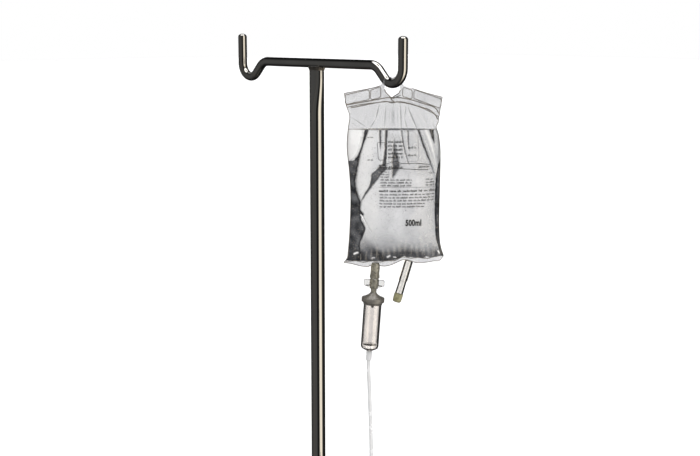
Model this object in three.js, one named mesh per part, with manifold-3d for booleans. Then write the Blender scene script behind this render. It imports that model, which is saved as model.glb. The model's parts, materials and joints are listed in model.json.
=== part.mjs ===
// Infusion stand: a telescopic mast on four casters, a bent double-hook crossbar, and an
// infusion bag with its drip chamber and tubing hanging from one hook.
// Millimetres, +Z up. The origin is on the floor under the mast's axis; the crossbar runs along X.

import * as THREE from 'three';
import { mergeVertices } from 'three/addons/utils/BufferGeometryUtils.js';
import Module from 'manifold-3d';

const wasm = await Module();
wasm.setup();

// ---------------------------------------------------------------- driving dimensions

const GAP = 0.3; // clearance wherever two pieces meet

const BAR_HEIGHT = 1760; // crossbar centreline above the floor
const ROD_RADIUS = 6;
const BAR_STRAIGHT = 103; // mast axis to the start of the downward bend
const SHOULDER_RADIUS = 22;
const SHOULDER_ANGLE = THREE.MathUtils.degToRad(45);
const SLOPE_LENGTH = 13.4;
const HOOK_RADIUS = 18.3;
const HOOK_TIP = 35.3; // hook tip above the crossbar's centreline
const FREE_TIP_EXTRA = 1.9; // the empty hook's arm is cut this much longer

const MAST_RADIUS = 9.5;
const TUBE_WALL = 1.2;
const MAST_BOTTOM = 560;
const PRESSED_LENGTH = 35; // top of the mast, pressed to the crossbar's thickness
const OUTER_RADIUS = 12.5;
const OUTER_TOP = 990;

const HUB_BOTTOM = 84;
const HUB_TOP = 140;
const HUB_RADIUS = 56;
const CASTER_CIRCLE = 290; // swivel axis to mast axis
const LEG_RADIUS = 11;
const LEG_HUB_HEIGHT = 116;
const LEG_END_HEIGHT = 90;
const WHEEL_RADIUS = 30;
const TRAIL = 22; // wheel axis behind the swivel axis
const CASTER_YAW = THREE.MathUtils.degToRad(115); // how every caster stands, from its leg

const COLLAR_BOTTOM = 944;
const COLLAR_TOP = 1070;
const CLAMP_HEIGHT = 1048;

const BAG_TURN = THREE.MathUtils.degToRad(48); // bag's plane, turned from the crossbar
const LINE_TILT = THREE.MathUtils.degToRad(3.9); // spike and chamber, from plumb
const PORT_TILT = THREE.MathUtils.degToRad(16.3); // second port, from plumb
const CHAMBER_RADIUS = 11;
const TUBING_RADIUS = 2.3;

// ---------------------------------------------------------------- materials

const finish = (color, roughness, metalness, opacity = 1) =>
  new THREE.MeshStandardMaterial({ color, roughness, metalness, opacity, transparent: opacity < 1 });

const POLISHED = finish(0x8d8a84, 0.18, 1);
const STEEL = finish(0x9a9a98, 0.35, 1);
const BRASS = finish(0xb59a5a, 0.35, 1);
const CASTING = finish(0x55585a, 0.5, 0.3);
const DARK_PLASTIC = finish(0x2c2e30, 0.5, 0);
const TYRE = finish(0x5c5e60, 0.7, 0);
const NYLON = finish(0xe4e2da, 0.5, 0);
const BAG_FILM = finish(0xdcdde0, 0.25, 0, 0.55);
const HEADER_FILM = finish(0xdcdcde, 0.3, 0, 0.6);
const PORT = finish(0xa5a184, 0.35, 0, 0.75);
const PLUG = finish(0x8c8750, 0.45, 0);
const SPIKE = finish(0x86806c, 0.35, 0, 0.85);
const CLEAR = finish(0xe6e6e2, 0.12, 0, 0.4);
const TUBING = finish(0xd4d3cf, 0.25, 0, 0.55);
const CLAMP_WHITE = finish(0xe9e9e6, 0.45, 0);
const CLAMP_BLUE = finish(0x6c8fa8, 0.45, 0);

// ---------------------------------------------------------------- shape helpers

const vec = (x, y, z) => new THREE.Vector3(x, y, z);

/** Merged mesh with no collapsed triangles, turned so that its faces point outward. */
function tidy(source) {
  const geometry = source.index ? source.clone() : source;
  for (const name of ['normal', 'uv']) geometry.deleteAttribute(name);
  const merged = mergeVertices(geometry, 1e-4);
  const position = merged.getAttribute('position');
  const corners = merged.index.array;
  const kept = [];
  let volume = 0;
  const [a, b, c] = [vec(), vec(), vec()];
  for (let i = 0; i < corners.length; i += 3) {
    const [p, q, r] = [corners[i], corners[i + 1], corners[i + 2]];
    if (p === q || q === r || r === p) continue;
    kept.push(p, q, r);
    a.fromBufferAttribute(position, p);
    b.fromBufferAttribute(position, q);
    c.fromBufferAttribute(position, r);
    volume += a.dot(b.cross(c));
  }
  if (volume < 0) {
    for (let i = 0; i < kept.length; i += 3) [kept[i], kept[i + 1]] = [kept[i + 1], kept[i]];
  }
  const result = new THREE.BufferGeometry();
  result.setAttribute('position', position);
  result.setIndex(kept);
  result.computeVertexNormals();
  return result;
}

/** Closed skin through rings of equal, even length: joined into a loop, or each end closed by a strip. */
function skin(rings, joined = false) {
  const count = rings[0].length;
  const points = rings.flat();
  const index = [];
  const quad = (a, b, c, d) => index.push(a, b, c, a, c, d);
  const bands = joined ? rings.length : rings.length - 1;
  for (let band = 0; band < bands; band += 1) {
    const low = band * count;
    const high = ((band + 1) % rings.length) * count;
    for (let i = 0; i < count; i += 1) {
      const j = (i + 1) % count;
      quad(low + i, low + j, high + j, high + i);
    }
  }
  if (!joined) {
    const last = points.length - count;
    for (let i = 0; i < count / 2 - 1; i += 1) {
      const far = count - 1 - i;
      quad(i, far, far - 1, i + 1);
      quad(last + i, last + i + 1, last + far - 1, last + far);
    }
  }
  const geometry = new THREE.BufferGeometry();
  geometry.setAttribute('position', new THREE.Float32BufferAttribute(points.flatMap((p) => p.toArray()), 3));
  geometry.setIndex(index);
  return tidy(geometry);
}

/** Round bar along a list of points, with flat or domed ends. */
function bar(points, radius, sides, domed = false) {
  const stations = points.map((p) => ({ point: p.clone(), radius }));
  if (domed) {
    const steps = 3;
    for (const atEnd of [false, true]) {
      const [tip, before] = atEnd ? [points.at(-1), points.at(-2)] : [points[0], points[1]];
      const out = tip.clone().sub(before).normalize();
      for (let i = 1; i <= steps; i += 1) {
        const angle = (i / steps) * Math.PI / 2 * 0.94;
        const station = {
          point: tip.clone().addScaledVector(out, radius * Math.sin(angle)),
          radius: radius * Math.cos(angle),
        };
        if (atEnd) stations.push(station);
        else stations.unshift(station);
      }
    }
  }
  let tangent = stations[1].point.clone().sub(stations[0].point).normalize();
  const side = Math.abs(tangent.y) < 0.9 ? vec(0, 1, 0) : vec(1, 0, 0);
  let normal = side.addScaledVector(tangent, -side.dot(tangent)).normalize();
  const rings = stations.map(({ point, radius: size }, i) => {
    const before = stations[Math.max(i - 1, 0)].point;
    const after = stations[Math.min(i + 1, stations.length - 1)].point;
    const next = after.clone().sub(before).normalize();
    normal = normal.clone().applyQuaternion(new THREE.Quaternion().setFromUnitVectors(tangent, next));
    tangent = next;
    const cross = next.clone().cross(normal);
    return Array.from({ length: sides }, (_, k) => {
      const angle = (k / sides) * 2 * Math.PI;
      return point.clone()
        .addScaledVector(normal, size * Math.cos(angle))
        .addScaledVector(cross, size * Math.sin(angle));
    });
  });
  return skin(rings);
}

/** Solid or ring of revolution about Z from [radius, height] pairs. */
function turned(profile, segments = 20) {
  const points = profile.map(([r, z]) => new THREE.Vector2(r, z));
  const onAxis = profile[0][0] === 0 && profile.at(-1)[0] === 0;
  if (!onAxis) points.push(points[0].clone());
  return tidy(new THREE.LatheGeometry(points, segments).rotateX(Math.PI / 2));
}

const tube = (outer, inner, low, high, segments = 20) =>
  turned([[outer, low], [outer, high], [inner, high], [inner, low]], segments);

const rod = (radius, low, high, segments = 16) =>
  turned([[0, low], [radius, low], [radius, high], [0, high]], segments);

const block = (low, high) => {
  const size = high.map((value, i) => value - low[i]);
  const middle = high.map((value, i) => (value + low[i]) / 2);
  return tidy(new THREE.BoxGeometry(...size).translate(...middle));
};

/** Rod of the given radius between two points, used as a piece or as a cutter. */
const rodBetween = (from, to, radius, sides = 16) => bar([from, to], radius, sides);

function solid(geometry) {
  const vertProperties = Float32Array.from(geometry.getAttribute('position').array);
  const triVerts = Uint32Array.from(geometry.index.array);
  return new wasm.Manifold(new wasm.Mesh({ numProp: 3, vertProperties, triVerts }));
}

function shape(manifold) {
  const mesh = manifold.getMesh();
  const geometry = new THREE.BufferGeometry();
  geometry.setAttribute('position', new THREE.Float32BufferAttribute(mesh.vertProperties, 3));
  geometry.setIndex(Array.from(mesh.triVerts));
  return tidy(geometry);
}

/** One piece joined from `parts`, less every cutter. */
function carve(parts, cutters = []) {
  let result = solid(parts[0]);
  for (const part of parts.slice(1)) result = result.add(solid(part));
  for (const cutter of cutters) result = result.subtract(solid(cutter));
  return shape(result);
}

/** Flat plate in the XZ plane, centred on y = 0, from an outline of [x, z] pairs and its holes. */
function plate(outline, thickness, holes = []) {
  const loop = outline.map(([x, z]) => new THREE.Vector2(x, z));
  const flat = new THREE.Shape(THREE.ShapeUtils.isClockWise(loop) ? loop.reverse() : loop);
  for (const hole of holes) flat.holes.push(new THREE.Path(hole.map(([x, z]) => new THREE.Vector2(x, z))));
  const extruded = new THREE.ExtrudeGeometry(flat, { depth: thickness, bevelEnabled: false });
  return tidy(extruded.translate(0, 0, -thickness / 2).rotateX(Math.PI / 2));
}

/** Straight-line value at `x` through a list of [x, value] pairs. */
function along(table, x) {
  const last = table.length - 1;
  if (x <= table[0][0]) return table[0][1];
  if (x >= table[last][0]) return table[last][1];
  const i = table.findIndex(([key]) => key > x);
  const [[x0, y0], [x1, y1]] = [table[i - 1], table[i]];
  return y0 + ((y1 - y0) * (x - x0)) / (x1 - x0);
}

const stand = new THREE.Group();

function add(name, geometry, material, parent = stand) {
  const mesh = new THREE.Mesh(geometry, material);
  mesh.name = name;
  parent.add(mesh);
  return mesh;
}

// ---------------------------------------------------------------- base: hub, legs, casters

const legLine = (radius) => {
  const t = radius / CASTER_CIRCLE;
  return vec(radius, 0, LEG_HUB_HEIGHT + t * (LEG_END_HEIGHT - LEG_HUB_HEIGHT));
};
const LEG_ANGLES = [45, 135, 225, 315].map(THREE.MathUtils.degToRad);
const LEG_START = 26; // leg's inner end, inside the hub

const hubBody = turned([
  [0, HUB_BOTTOM], [HUB_RADIUS - 3, HUB_BOTTOM], [HUB_RADIUS, HUB_BOTTOM + 3],
  [HUB_RADIUS, HUB_TOP - 12], [HUB_RADIUS - 8, HUB_TOP], [0, HUB_TOP],
], 28);
const hubCutters = LEG_ANGLES.map((angle) =>
  rodBetween(legLine(LEG_START - 3), legLine(HUB_RADIUS + 20), LEG_RADIUS + GAP, 16).rotateZ(angle));
hubCutters.push(rod(OUTER_RADIUS + GAP, HUB_BOTTOM + 10, HUB_TOP + 5, 24));
hubCutters.push(rod(4 + GAP, HUB_BOTTOM - 5, HUB_BOTTOM + 15, 12));
hubCutters.push(rod(8 + GAP, HUB_BOTTOM - 5, HUB_BOTTOM + 5, 16));
add('base_hub', carve([hubBody], hubCutters), CASTING);

add('hub_cover', turned([
  [OUTER_RADIUS + GAP, HUB_TOP + GAP], [46, HUB_TOP + GAP], [46, HUB_TOP + 6], [40, HUB_TOP + 14],
  [22, HUB_TOP + 24], [17, HUB_TOP + 34], [OUTER_RADIUS + GAP, HUB_TOP + 34],
], 24), DARK_PLASTIC);

// The mast's fixing screw, sunk in the hub's floor, passes up into a threaded plug in the tube.
const TUBE_FLOOR = HUB_BOTTOM + 10 + GAP;
add('hub_screw', turned([
  [0, HUB_BOTTOM + 0.5], [8, HUB_BOTTOM + 0.5], [8, HUB_BOTTOM + 5 - GAP], [4, HUB_BOTTOM + 5 - GAP],
  [4, HUB_BOTTOM + 36], [0, HUB_BOTTOM + 36],
], 12), STEEL);
add('tube_plug', tube(OUTER_RADIUS - TUBE_WALL - GAP, 4 + GAP, TUBE_FLOOR + 1, TUBE_FLOOR + 24, 16), STEEL);
add('outer_tube', tube(OUTER_RADIUS, OUTER_RADIUS - TUBE_WALL, TUBE_FLOOR, OUTER_TOP, 24), POLISHED);

const SOCKET_LOW = LEG_END_HEIGHT - 17;
const SOCKET_HIGH = LEG_END_HEIGHT + 16;
const legArm = rodBetween(legLine(LEG_START), legLine(CASTER_CIRCLE), LEG_RADIUS, 14);
const legSocket = rod(LEG_RADIUS + 2, SOCKET_LOW, SOCKET_HIGH, 16).translate(CASTER_CIRCLE, 0, 0);
const legHollow = rodBetween(legLine(LEG_START - 5), legLine(CASTER_CIRCLE - 22), LEG_RADIUS - 1.8, 12);
const stemBore = rod(5.5, SOCKET_LOW - 5, SOCKET_HIGH - 4, 12).translate(CASTER_CIRCLE, 0, 0);
const leg = carve([legArm, legSocket], [legHollow, stemBore]);

// Caster pieces stand with the swivel axis on Z and the wheel behind it along +X.
const forkOutline = [
  [-15, 70], [15, 70], [26, 61], [34, 44], [33, 30], [28, 23], [22, 21], [16, 23], [12, 28],
  [4, 42], [-10, 60], [-15, 64],
];
const about = (geometry, x, z) => geometry.rotateX(Math.PI / 2).translate(x, 0, z);
const forkBlank = plate(forkOutline, 31);
const crown = rod(15.5, 62.5, 70.5, 16);
const stem = rod(5.2, 69, SOCKET_HIGH - 4 - GAP, 12);
const wheelPocket = about(rod(WHEEL_RADIUS + 2.5, -11.5, 11.5, 20), TRAIL, WHEEL_RADIUS);
const axleHole = about(rod(4 + GAP, -20, 20, 10), TRAIL, WHEEL_RADIUS);
const fork = carve([forkBlank, crown, stem], [wheelPocket, axleHole]);
const RIM_RADIUS = 22;
const tyre = about(turned([
  [RIM_RADIUS, -10], [WHEEL_RADIUS - 3.5, -10], [WHEEL_RADIUS, -5], [WHEEL_RADIUS, 5],
  [WHEEL_RADIUS - 3.5, 10], [RIM_RADIUS, 10],
], 24), TRAIL, WHEEL_RADIUS);
const wheelCore = about(turned([
  [4 + GAP, -11], [8, -11], [RIM_RADIUS - 4, -4], [RIM_RADIUS - 2.5, -9.5],
  [RIM_RADIUS - GAP, -9.5], [RIM_RADIUS - GAP, 9.5], [RIM_RADIUS - 2.5, 9.5],
  [RIM_RADIUS - 4, 4], [8, 11], [4 + GAP, 11],
], 18), TRAIL, WHEEL_RADIUS);
const axle = about(rod(4, -17.5, 17.5, 10), TRAIL, WHEEL_RADIUS);

LEG_ANGLES.forEach((angle, i) => {
  const arm = new THREE.Group();
  arm.rotation.z = angle;
  stand.add(arm);
  const caster = new THREE.Group();
  caster.position.x = CASTER_CIRCLE;
  caster.rotation.z = CASTER_YAW;
  arm.add(caster);
  add(`leg_${i + 1}`, leg, POLISHED, arm);
  add(`caster_fork_${i + 1}`, fork, STEEL, caster);
  add(`wheel_core_${i + 1}`, wheelCore, DARK_PLASTIC, caster);
  add(`tyre_${i + 1}`, tyre, TYRE, caster);
  add(`axle_${i + 1}`, axle, STEEL, caster);
});

// ---------------------------------------------------------------- mast collar and clamp

const BUSH_TOP = OUTER_TOP + 32;
const collarBody = turned([
  [OUTER_RADIUS + GAP, COLLAR_BOTTOM], [18, COLLAR_BOTTOM], [20, COLLAR_BOTTOM + 3],
  [20, COLLAR_TOP - 12], [17, COLLAR_TOP - 3], [14, COLLAR_TOP], [MAST_RADIUS + 0.8, COLLAR_TOP],
  [MAST_RADIUS + 0.8, BUSH_TOP + GAP], [OUTER_RADIUS + GAP, BUSH_TOP + GAP],
], 24);
/** Turned piece whose axis is the clamp's: its height axis points away from the mast, along -Y. */
const onClamp = (geometry) => geometry.rotateX(Math.PI / 2).translate(0, 0, CLAMP_HEIGHT);
const clampBoss = onClamp(rod(13, 16, 37, 18));
const insertBore = onClamp(rod(8 + GAP, 22, 40, 16));
const padBore = onClamp(rod(5 + GAP, 8, 25, 12));
add('collar', carve([collarBody, clampBoss], [insertBore, padBore]), DARK_PLASTIC);
add('collar_bush', tube(OUTER_RADIUS, MAST_RADIUS + GAP, OUTER_TOP + GAP, BUSH_TOP, 20), NYLON);
add('threaded_insert', onClamp(tube(8, 4 + GAP, 22 + GAP, 37, 14)), BRASS);
add('clamp_pad', onClamp(rod(5, MAST_RADIUS + GAP, 16, 12)), NYLON);
add('clamp_stud', onClamp(rod(4, 16 + GAP, 56, 12)), STEEL);

const KNOB_LOBES = 6;
const knobSection = (radius, depth, distance) => Array.from({ length: 36 }, (_, k) => {
  const angle = (k / 36) * 2 * Math.PI;
  const reach = radius - depth * (0.5 - 0.5 * Math.cos(KNOB_LOBES * angle));
  return vec(reach * Math.cos(angle), reach * Math.sin(angle), distance);
});
const knobBlank = skin([
  knobSection(12, 0, 39.5), knobSection(13, 0, 44), knobSection(20, 3.5, 48), knobSection(22, 4.5, 52),
  knobSection(22, 4.5, 60), knobSection(19, 3.5, 64), knobSection(12, 0, 65.5),
]);
const knobBore = rod(4 + GAP, 30, 56 + GAP, 12);
add('clamp_knob', onClamp(carve([knobBlank], [knobBore])), DARK_PLASTIC);

// ---------------------------------------------------------------- sliding mast

const MAST_TOP = BAR_HEIGHT - 4;
const MAST_BORE = MAST_RADIUS - TUBE_WALL;
add('guide_plug', turned([
  [0, MAST_BOTTOM - 30], [9.5, MAST_BOTTOM - 30], [OUTER_RADIUS - TUBE_WALL - GAP, MAST_BOTTOM - 27],
  [OUTER_RADIUS - TUBE_WALL - GAP, MAST_BOTTOM - GAP], [MAST_BORE - GAP, MAST_BOTTOM - GAP],
  [MAST_BORE - GAP, MAST_BOTTOM + 20], [0, MAST_BOTTOM + 20],
], 20), NYLON);

/** Mast's section, from round (press 0) to a flat-sided slot shape as thick as the crossbar (press 1). */
function mastSection(inset, press, height) {
  const half = MAST_RADIUS - inset + press * (ROD_RADIUS - MAST_RADIUS);
  const flat = press * (Math.PI / 2) * (MAST_RADIUS - ROD_RADIUS);
  return Array.from({ length: 24 }, (_, k) => {
    const angle = ((k + 0.5) / 24) * 2 * Math.PI;
    const shift = Math.sign(Math.cos(angle)) * flat;
    return vec(half * Math.cos(angle) + shift, half * Math.sin(angle), height);
  });
}
const PRESS_STATIONS = [[0, 0], [0.12, 0.35], [0.5, 0.62], [0.9, 0.85], [1, 1]];
const mastStations = [[0, MAST_BOTTOM], ...PRESS_STATIONS.map(([press, share]) =>
  [press, MAST_TOP - 1.4 * PRESSED_LENGTH * (1 - share)])];
const mastRings = [
  ...mastStations.map(([press, height]) => mastSection(0, press, height)),
  ...mastStations.toReversed().map(([press, height]) => mastSection(TUBE_WALL, press, height)),
];
const cope = rodBetween(vec(-40, 0, BAR_HEIGHT), vec(40, 0, BAR_HEIGHT), ROD_RADIUS + GAP, 16);
add('inner_tube', carve([skin(mastRings, true)], [cope]), POLISHED);

// ---------------------------------------------------------------- crossbar with its two hooks

/** Centreline of one half of the crossbar, as [distance from mast axis, height over the straight]. */
function hookLine() {
  const line = [[BAR_STRAIGHT * 0.5, 0], [BAR_STRAIGHT, 0]];
  const arc = (centre, radius, from, to, steps) => {
    for (let i = 1; i <= steps; i += 1) {
      const angle = from + ((to - from) * i) / steps;
      line.push([centre[0] + radius * Math.cos(angle), centre[1] + radius * Math.sin(angle)]);
    }
  };
  const quarter = Math.PI / 2;
  arc([BAR_STRAIGHT, -SHOULDER_RADIUS], SHOULDER_RADIUS, quarter, quarter - SHOULDER_ANGLE, 5);
  const [x, z] = line.at(-1);
  const end = [x + SLOPE_LENGTH * Math.cos(SHOULDER_ANGLE), z - SLOPE_LENGTH * Math.sin(SHOULDER_ANGLE)];
  line.push(end);
  const centre = [
    end[0] + HOOK_RADIUS * Math.sin(SHOULDER_ANGLE),
    end[1] + HOOK_RADIUS * Math.cos(SHOULDER_ANGLE),
  ];
  arc(centre, HOOK_RADIUS, -quarter - SHOULDER_ANGLE, 0, 12);
  line.push([centre[0] + HOOK_RADIUS, HOOK_TIP - ROD_RADIUS]);
  return { line, bottom: [centre[0], centre[1] - HOOK_RADIUS] };
}
const { line: halfLine, bottom: hookBottom } = hookLine();
const HOOK_X = hookBottom[0];
const HOOK_HEIGHT = BAR_HEIGHT + hookBottom[1];
const rightHalf = halfLine.map(([x, z]) => vec(x, 0, BAR_HEIGHT + z));
const leftHalf = halfLine.map(([x, z]) => vec(-x, 0, BAR_HEIGHT + z)).reverse();
leftHalf[0].z += FREE_TIP_EXTRA;
add('crossbar', bar([...leftHalf, vec(0, 0, BAR_HEIGHT), ...rightHalf], ROD_RADIUS, 16, true), POLISHED);

// Weld bead round the foot of the joint, where the pressed mast meets the crossbar.
const BEAD = 1.5;
const beadRings = Array.from({ length: 20 }, (_, k) => {
  const angle = ((k + 0.5) / 20) * 2 * Math.PI;
  const flat = Math.sign(Math.cos(angle)) * (Math.PI / 2) * (MAST_RADIUS - ROD_RADIUS);
  const reach = ROD_RADIUS + GAP + BEAD;
  const out = vec(Math.cos(angle), Math.sin(angle), 0);
  const centre = vec(flat + reach * out.x, reach * out.y, BAR_HEIGHT - ROD_RADIUS - GAP - BEAD - 0.4);
  return Array.from({ length: 6 }, (_unused, j) => {
    const turn = (j / 6) * 2 * Math.PI;
    return centre.clone().addScaledVector(out, BEAD * Math.cos(turn)).add(vec(0, 0, BEAD * Math.sin(turn)));
  });
});
add('top_weld', skin(beadRings, true), STEEL);

// ---------------------------------------------------------------- infusion bag
// Built round the hook's lowest point: x across the bag, y away from its printed face, z up.

const bag = new THREE.Group();
bag.position.set(HOOK_X, 0, HOOK_HEIGHT);
bag.rotation.z = BAG_TURN;
stand.add(bag);

const SHEET = 1.2; // welded film, doubled
const pouchTop = (x) => (x < 0 ? -22 - 7 * (x / 56) ** 2 : -22 - 18 * (x / 57) ** 2);
const POUCH_LEFT = [
  [0, -55], [0.06, -51.5], [0.13, -53.5], [0.25, -54.8], [0.4, -51.5], [0.6, -50], [0.8, -51.5],
  [0.95, -54.5], [1, -59],
];
const POUCH_RIGHT = [
  [0, 57], [0.06, 54.5], [0.15, 58], [0.3, 59.4], [0.7, 58.8], [0.88, 60.4], [0.97, 64], [1, 65],
];
const POUCH_SEAM = [[-59, -221.5], [-31, -226.5], [-15, -224], [8, -221], [17, -218], [35, -221.5], [53, -218], [65, -214]];
const POUCH_DEPTH = 44;

/** Lens-shaped section of the filled pouch at a share of the way from its top weld to its seam. */
function pouchSection(share) {
  const steps = 10;
  const left = along(POUCH_LEFT, share);
  const right = along(POUCH_RIGHT, share);
  const swell = Math.sin(Math.PI * Math.min(1, 0.04 + 0.92 * share)) ** 0.62;
  const row = (side) => Array.from({ length: steps + 1 }, (_, k) => {
    const across = side * (1 - (2 * k) / steps);
    const x = (left + right) / 2 + ((right - left) / 2) * across;
    const depth = SHEET / 2 + (POUCH_DEPTH / 2) * Math.max(0, swell - 0.33) / 0.67 * (1 - across ** 2) ** 0.7;
    const z = pouchTop(x) + share * (along(POUCH_SEAM, x) - pouchTop(x));
    return vec(x, -side * depth, z);
  });
  return [...row(1), ...row(-1)];
}
const pouchShares = Array.from({ length: 13 }, (_, i) => 0.5 - 0.5 * Math.cos((Math.PI * i) / 12));
add('bag_pouch', skin(pouchShares.map(pouchSection)), BAG_FILM, bag);

const headerLower = Array.from({ length: 13 }, (_, i) => {
  const x = 55 - (110 * i) / 12;
  return [x, pouchTop(x) + 2 * GAP];
});
const headerOutline = [
  [-58, -12], [-30, -6.5], [-14, -3], [-12.8, 4], [-9, 9.6], [-4, 11.8], [4, 11.8], [9, 9.6],
  [12.8, 4], [14, -4], [35, -9.5], [61, -16.4], [58, -30], ...headerLower,
];
const hangHole = [
  [-9.3, 3], [-7.8, 6], [-5, ROD_RADIUS + 0.5], [5, ROD_RADIUS + 0.5], [7.8, 6], [9.3, 3], [9.3, -8],
  [8, -12.5], [2, -16], [0, -17.5], [-2.5, -15.5], [-7, -12.5], [-9, -9],
];
add('bag_header', plate(headerOutline, SHEET, [hangHole]), HEADER_FILM, bag);

// ---------------------------------------------------------------- ports, spike and drip chamber

// The infusion line hangs from its own welded port, a little off plumb; heights are from the hook.
const SEAM_AT_LINE = [-19.4, -225];
const line = new THREE.Group();
line.position.set(SEAM_AT_LINE[0], 0, SEAM_AT_LINE[1]);
line.rotation.y = LINE_TILT;
bag.add(line);

add('infusion_port', turned([
  [0, -1], [5.2, -1], [5.7, -2], [5.7, -16], [3.9, -16], [3.9, -8], [0, -8],
], 16), PORT, line);

const spikeWings = plate([[-12.7, -18.2], [12.7, -18.2], [12.7, -26], [9, -27.2], [-9, -27.2], [-12.7, -26]], 3);
const spikeBody = turned([
  [0, -9.5], [3.5, -11], [3.5, -16.4], [5.6, -17], [5.6, -28], [3.7, -29.5], [3.7, -37], [0, -37],
], 16);
add('spike', carve([spikeBody, spikeWings]), SPIKE, line);

const CAP_TOP = -37 - GAP;
add('chamber_cap', turned([
  [0, CAP_TOP], [5, CAP_TOP], [9, CAP_TOP - 1.5], [13.6, CAP_TOP - 2.4], [14.2, CAP_TOP - 3.4],
  [14.2, CAP_TOP - 9.5], [13.4, CAP_TOP - 11], [12.8, CAP_TOP - 14], [CHAMBER_RADIUS + GAP, CAP_TOP - 14],
  [CHAMBER_RADIUS + GAP, CAP_TOP - 6], [0, CAP_TOP - 6],
], 22), SPIKE, line);
const NOZZLE_TOP = CAP_TOP - 6 - GAP;
add('drip_nozzle', turned([
  [0, NOZZLE_TOP], [9.2, NOZZLE_TOP], [9.2, NOZZLE_TOP - 2], [3.4, NOZZLE_TOP - 3], [1.8, NOZZLE_TOP - 6],
  [1.6, NOZZLE_TOP - 12], [0, NOZZLE_TOP - 12],
], 12), CLEAR, line);
const CHAMBER_TOP = NOZZLE_TOP;
const CHAMBER_CONE = -103.5;
const CHAMBER_FOOT = -109.5;
add('drip_chamber', turned([
  [CHAMBER_RADIUS - 0.9, CHAMBER_TOP], [CHAMBER_RADIUS, CHAMBER_TOP], [CHAMBER_RADIUS - 0.1, CHAMBER_CONE],
  [9, CHAMBER_CONE - 3.5], [3.6, CHAMBER_FOOT], [1.4, CHAMBER_FOOT], [1.4, CHAMBER_FOOT + 1.6],
  [8, CHAMBER_CONE - 2.2], [CHAMBER_RADIUS - 0.9, CHAMBER_CONE + 1],
], 22), CLEAR, line);
add('chamber_filter', rod(CHAMBER_RADIUS - 0.9 - GAP - 0.1, CHAMBER_CONE + 1.6, CHAMBER_CONE + 2.8, 16), NYLON, line);
const SLEEVE_FOOT = -122;
add('outlet_sleeve', tube(3.5, TUBING_RADIUS + GAP, SLEEVE_FOOT, CHAMBER_FOOT - GAP, 14), CLEAR, line);

const sidePort = new THREE.Group();
sidePort.position.set(21.7, 0, -221);
sidePort.rotation.y = PORT_TILT;
bag.add(sidePort);
add('injection_port', turned([
  [0, -1.5], [5.2, -1.5], [5.4, -24], [5, -24.5], [5, -42], [0, -42],
], 16), PORT, sidePort);
add('injection_plug', turned([
  [0, -42 - GAP], [5.4, -42 - GAP], [5.6, -44], [5.4, -51], [4.2, -52.5], [0, -52.5],
], 16), PLUG, sidePort);

// ---------------------------------------------------------------- tubing
// One free line from the drip chamber's outlet: it drops through the roller clamp, and the spare
// length is folded into a tied hank that hangs in line. Points are [x, y, z] from the hook.

const TUBING_DROP = [
  [-26.9, 0, -335.6], [-27.5, 0, -343], [-27.9, 0, -350], [-27.8, 0, -358], [-27.3, 0, -368], [-26.8, 0, -380],
  [-26.2, 0, -395], [-25.7, 0, -410], [-25.1, 0, -425], [-24.6, 0, -440], [-24.1, 0, -460],
  [-23.8, 0, -485], [-23.6, 0, -515], [-23.5, 0, -545], [-23.5, 0, -580], [-23.5, 0, -615],
  [-23.3, -0.6, -630], [-22, -2.4, -645], [-18.5, -5.4, -660], [-13.5, -8.4, -675], [-9.4, -10, -690],
];
const HANK_X = -23.5;
const HANK_TOP = -705; // where the straight runs begin
const HANK_RUN = 88;
const HANK_BEND = 15.5;
const HANK_TURNS = 4;
const HANK_PITCH = 5.1;
const TAIL_LENGTH = 42;

/** Folded turns of the spare line, one beside the next, and the tail that leaves them downward. */
function hankLine() {
  const points = [];
  const turn = 2 * HANK_RUN + 2 * Math.PI * HANK_BEND;
  const start = -(HANK_TURNS * HANK_PITCH) / 2;
  const put = (x, z, length) => points.push([HANK_X + x, start + (HANK_PITCH * length) / turn, z]);
  const bend = (centre, from, length) => {
    for (let i = 1; i < 5; i += 1) {
      const angle = (Math.PI * i) / 5;
      const [x, z] = [HANK_BEND * Math.cos(from - angle), centre + HANK_BEND * Math.sin(from - angle)];
      put(x, z, length + HANK_BEND * angle);
    }
  };
  for (let k = 0; k < HANK_TURNS; k += 1) {
    const base = k * turn;
    put(HANK_BEND, HANK_TOP, base);
    put(HANK_BEND, HANK_TOP - HANK_RUN, base + HANK_RUN);
    bend(HANK_TOP - HANK_RUN, 0, base + HANK_RUN);
    put(-HANK_BEND, HANK_TOP - HANK_RUN, base + turn / 2);
    put(-HANK_BEND, HANK_TOP, base + turn / 2 + HANK_RUN);
    bend(HANK_TOP, Math.PI, base + turn / 2 + HANK_RUN);
  }
  const last = HANK_TURNS * turn;
  put(HANK_BEND, HANK_TOP, last);
  put(HANK_BEND, HANK_TOP - HANK_RUN, last + HANK_RUN);
  put(HANK_BEND, HANK_TOP - HANK_RUN - HANK_BEND - TAIL_LENGTH, last + HANK_RUN);
  return points;
}
const toVectors = (points) => points.map((p) => vec(...p));
add('tubing_drop', bar(toVectors(TUBING_DROP), TUBING_RADIUS, 8), TUBING, bag);
const hankPoints = [[-8.05, -10.2, -700], ...hankLine()];
add('tubing_hank', bar(toVectors(hankPoints), TUBING_RADIUS, 8), TUBING, bag);

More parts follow.
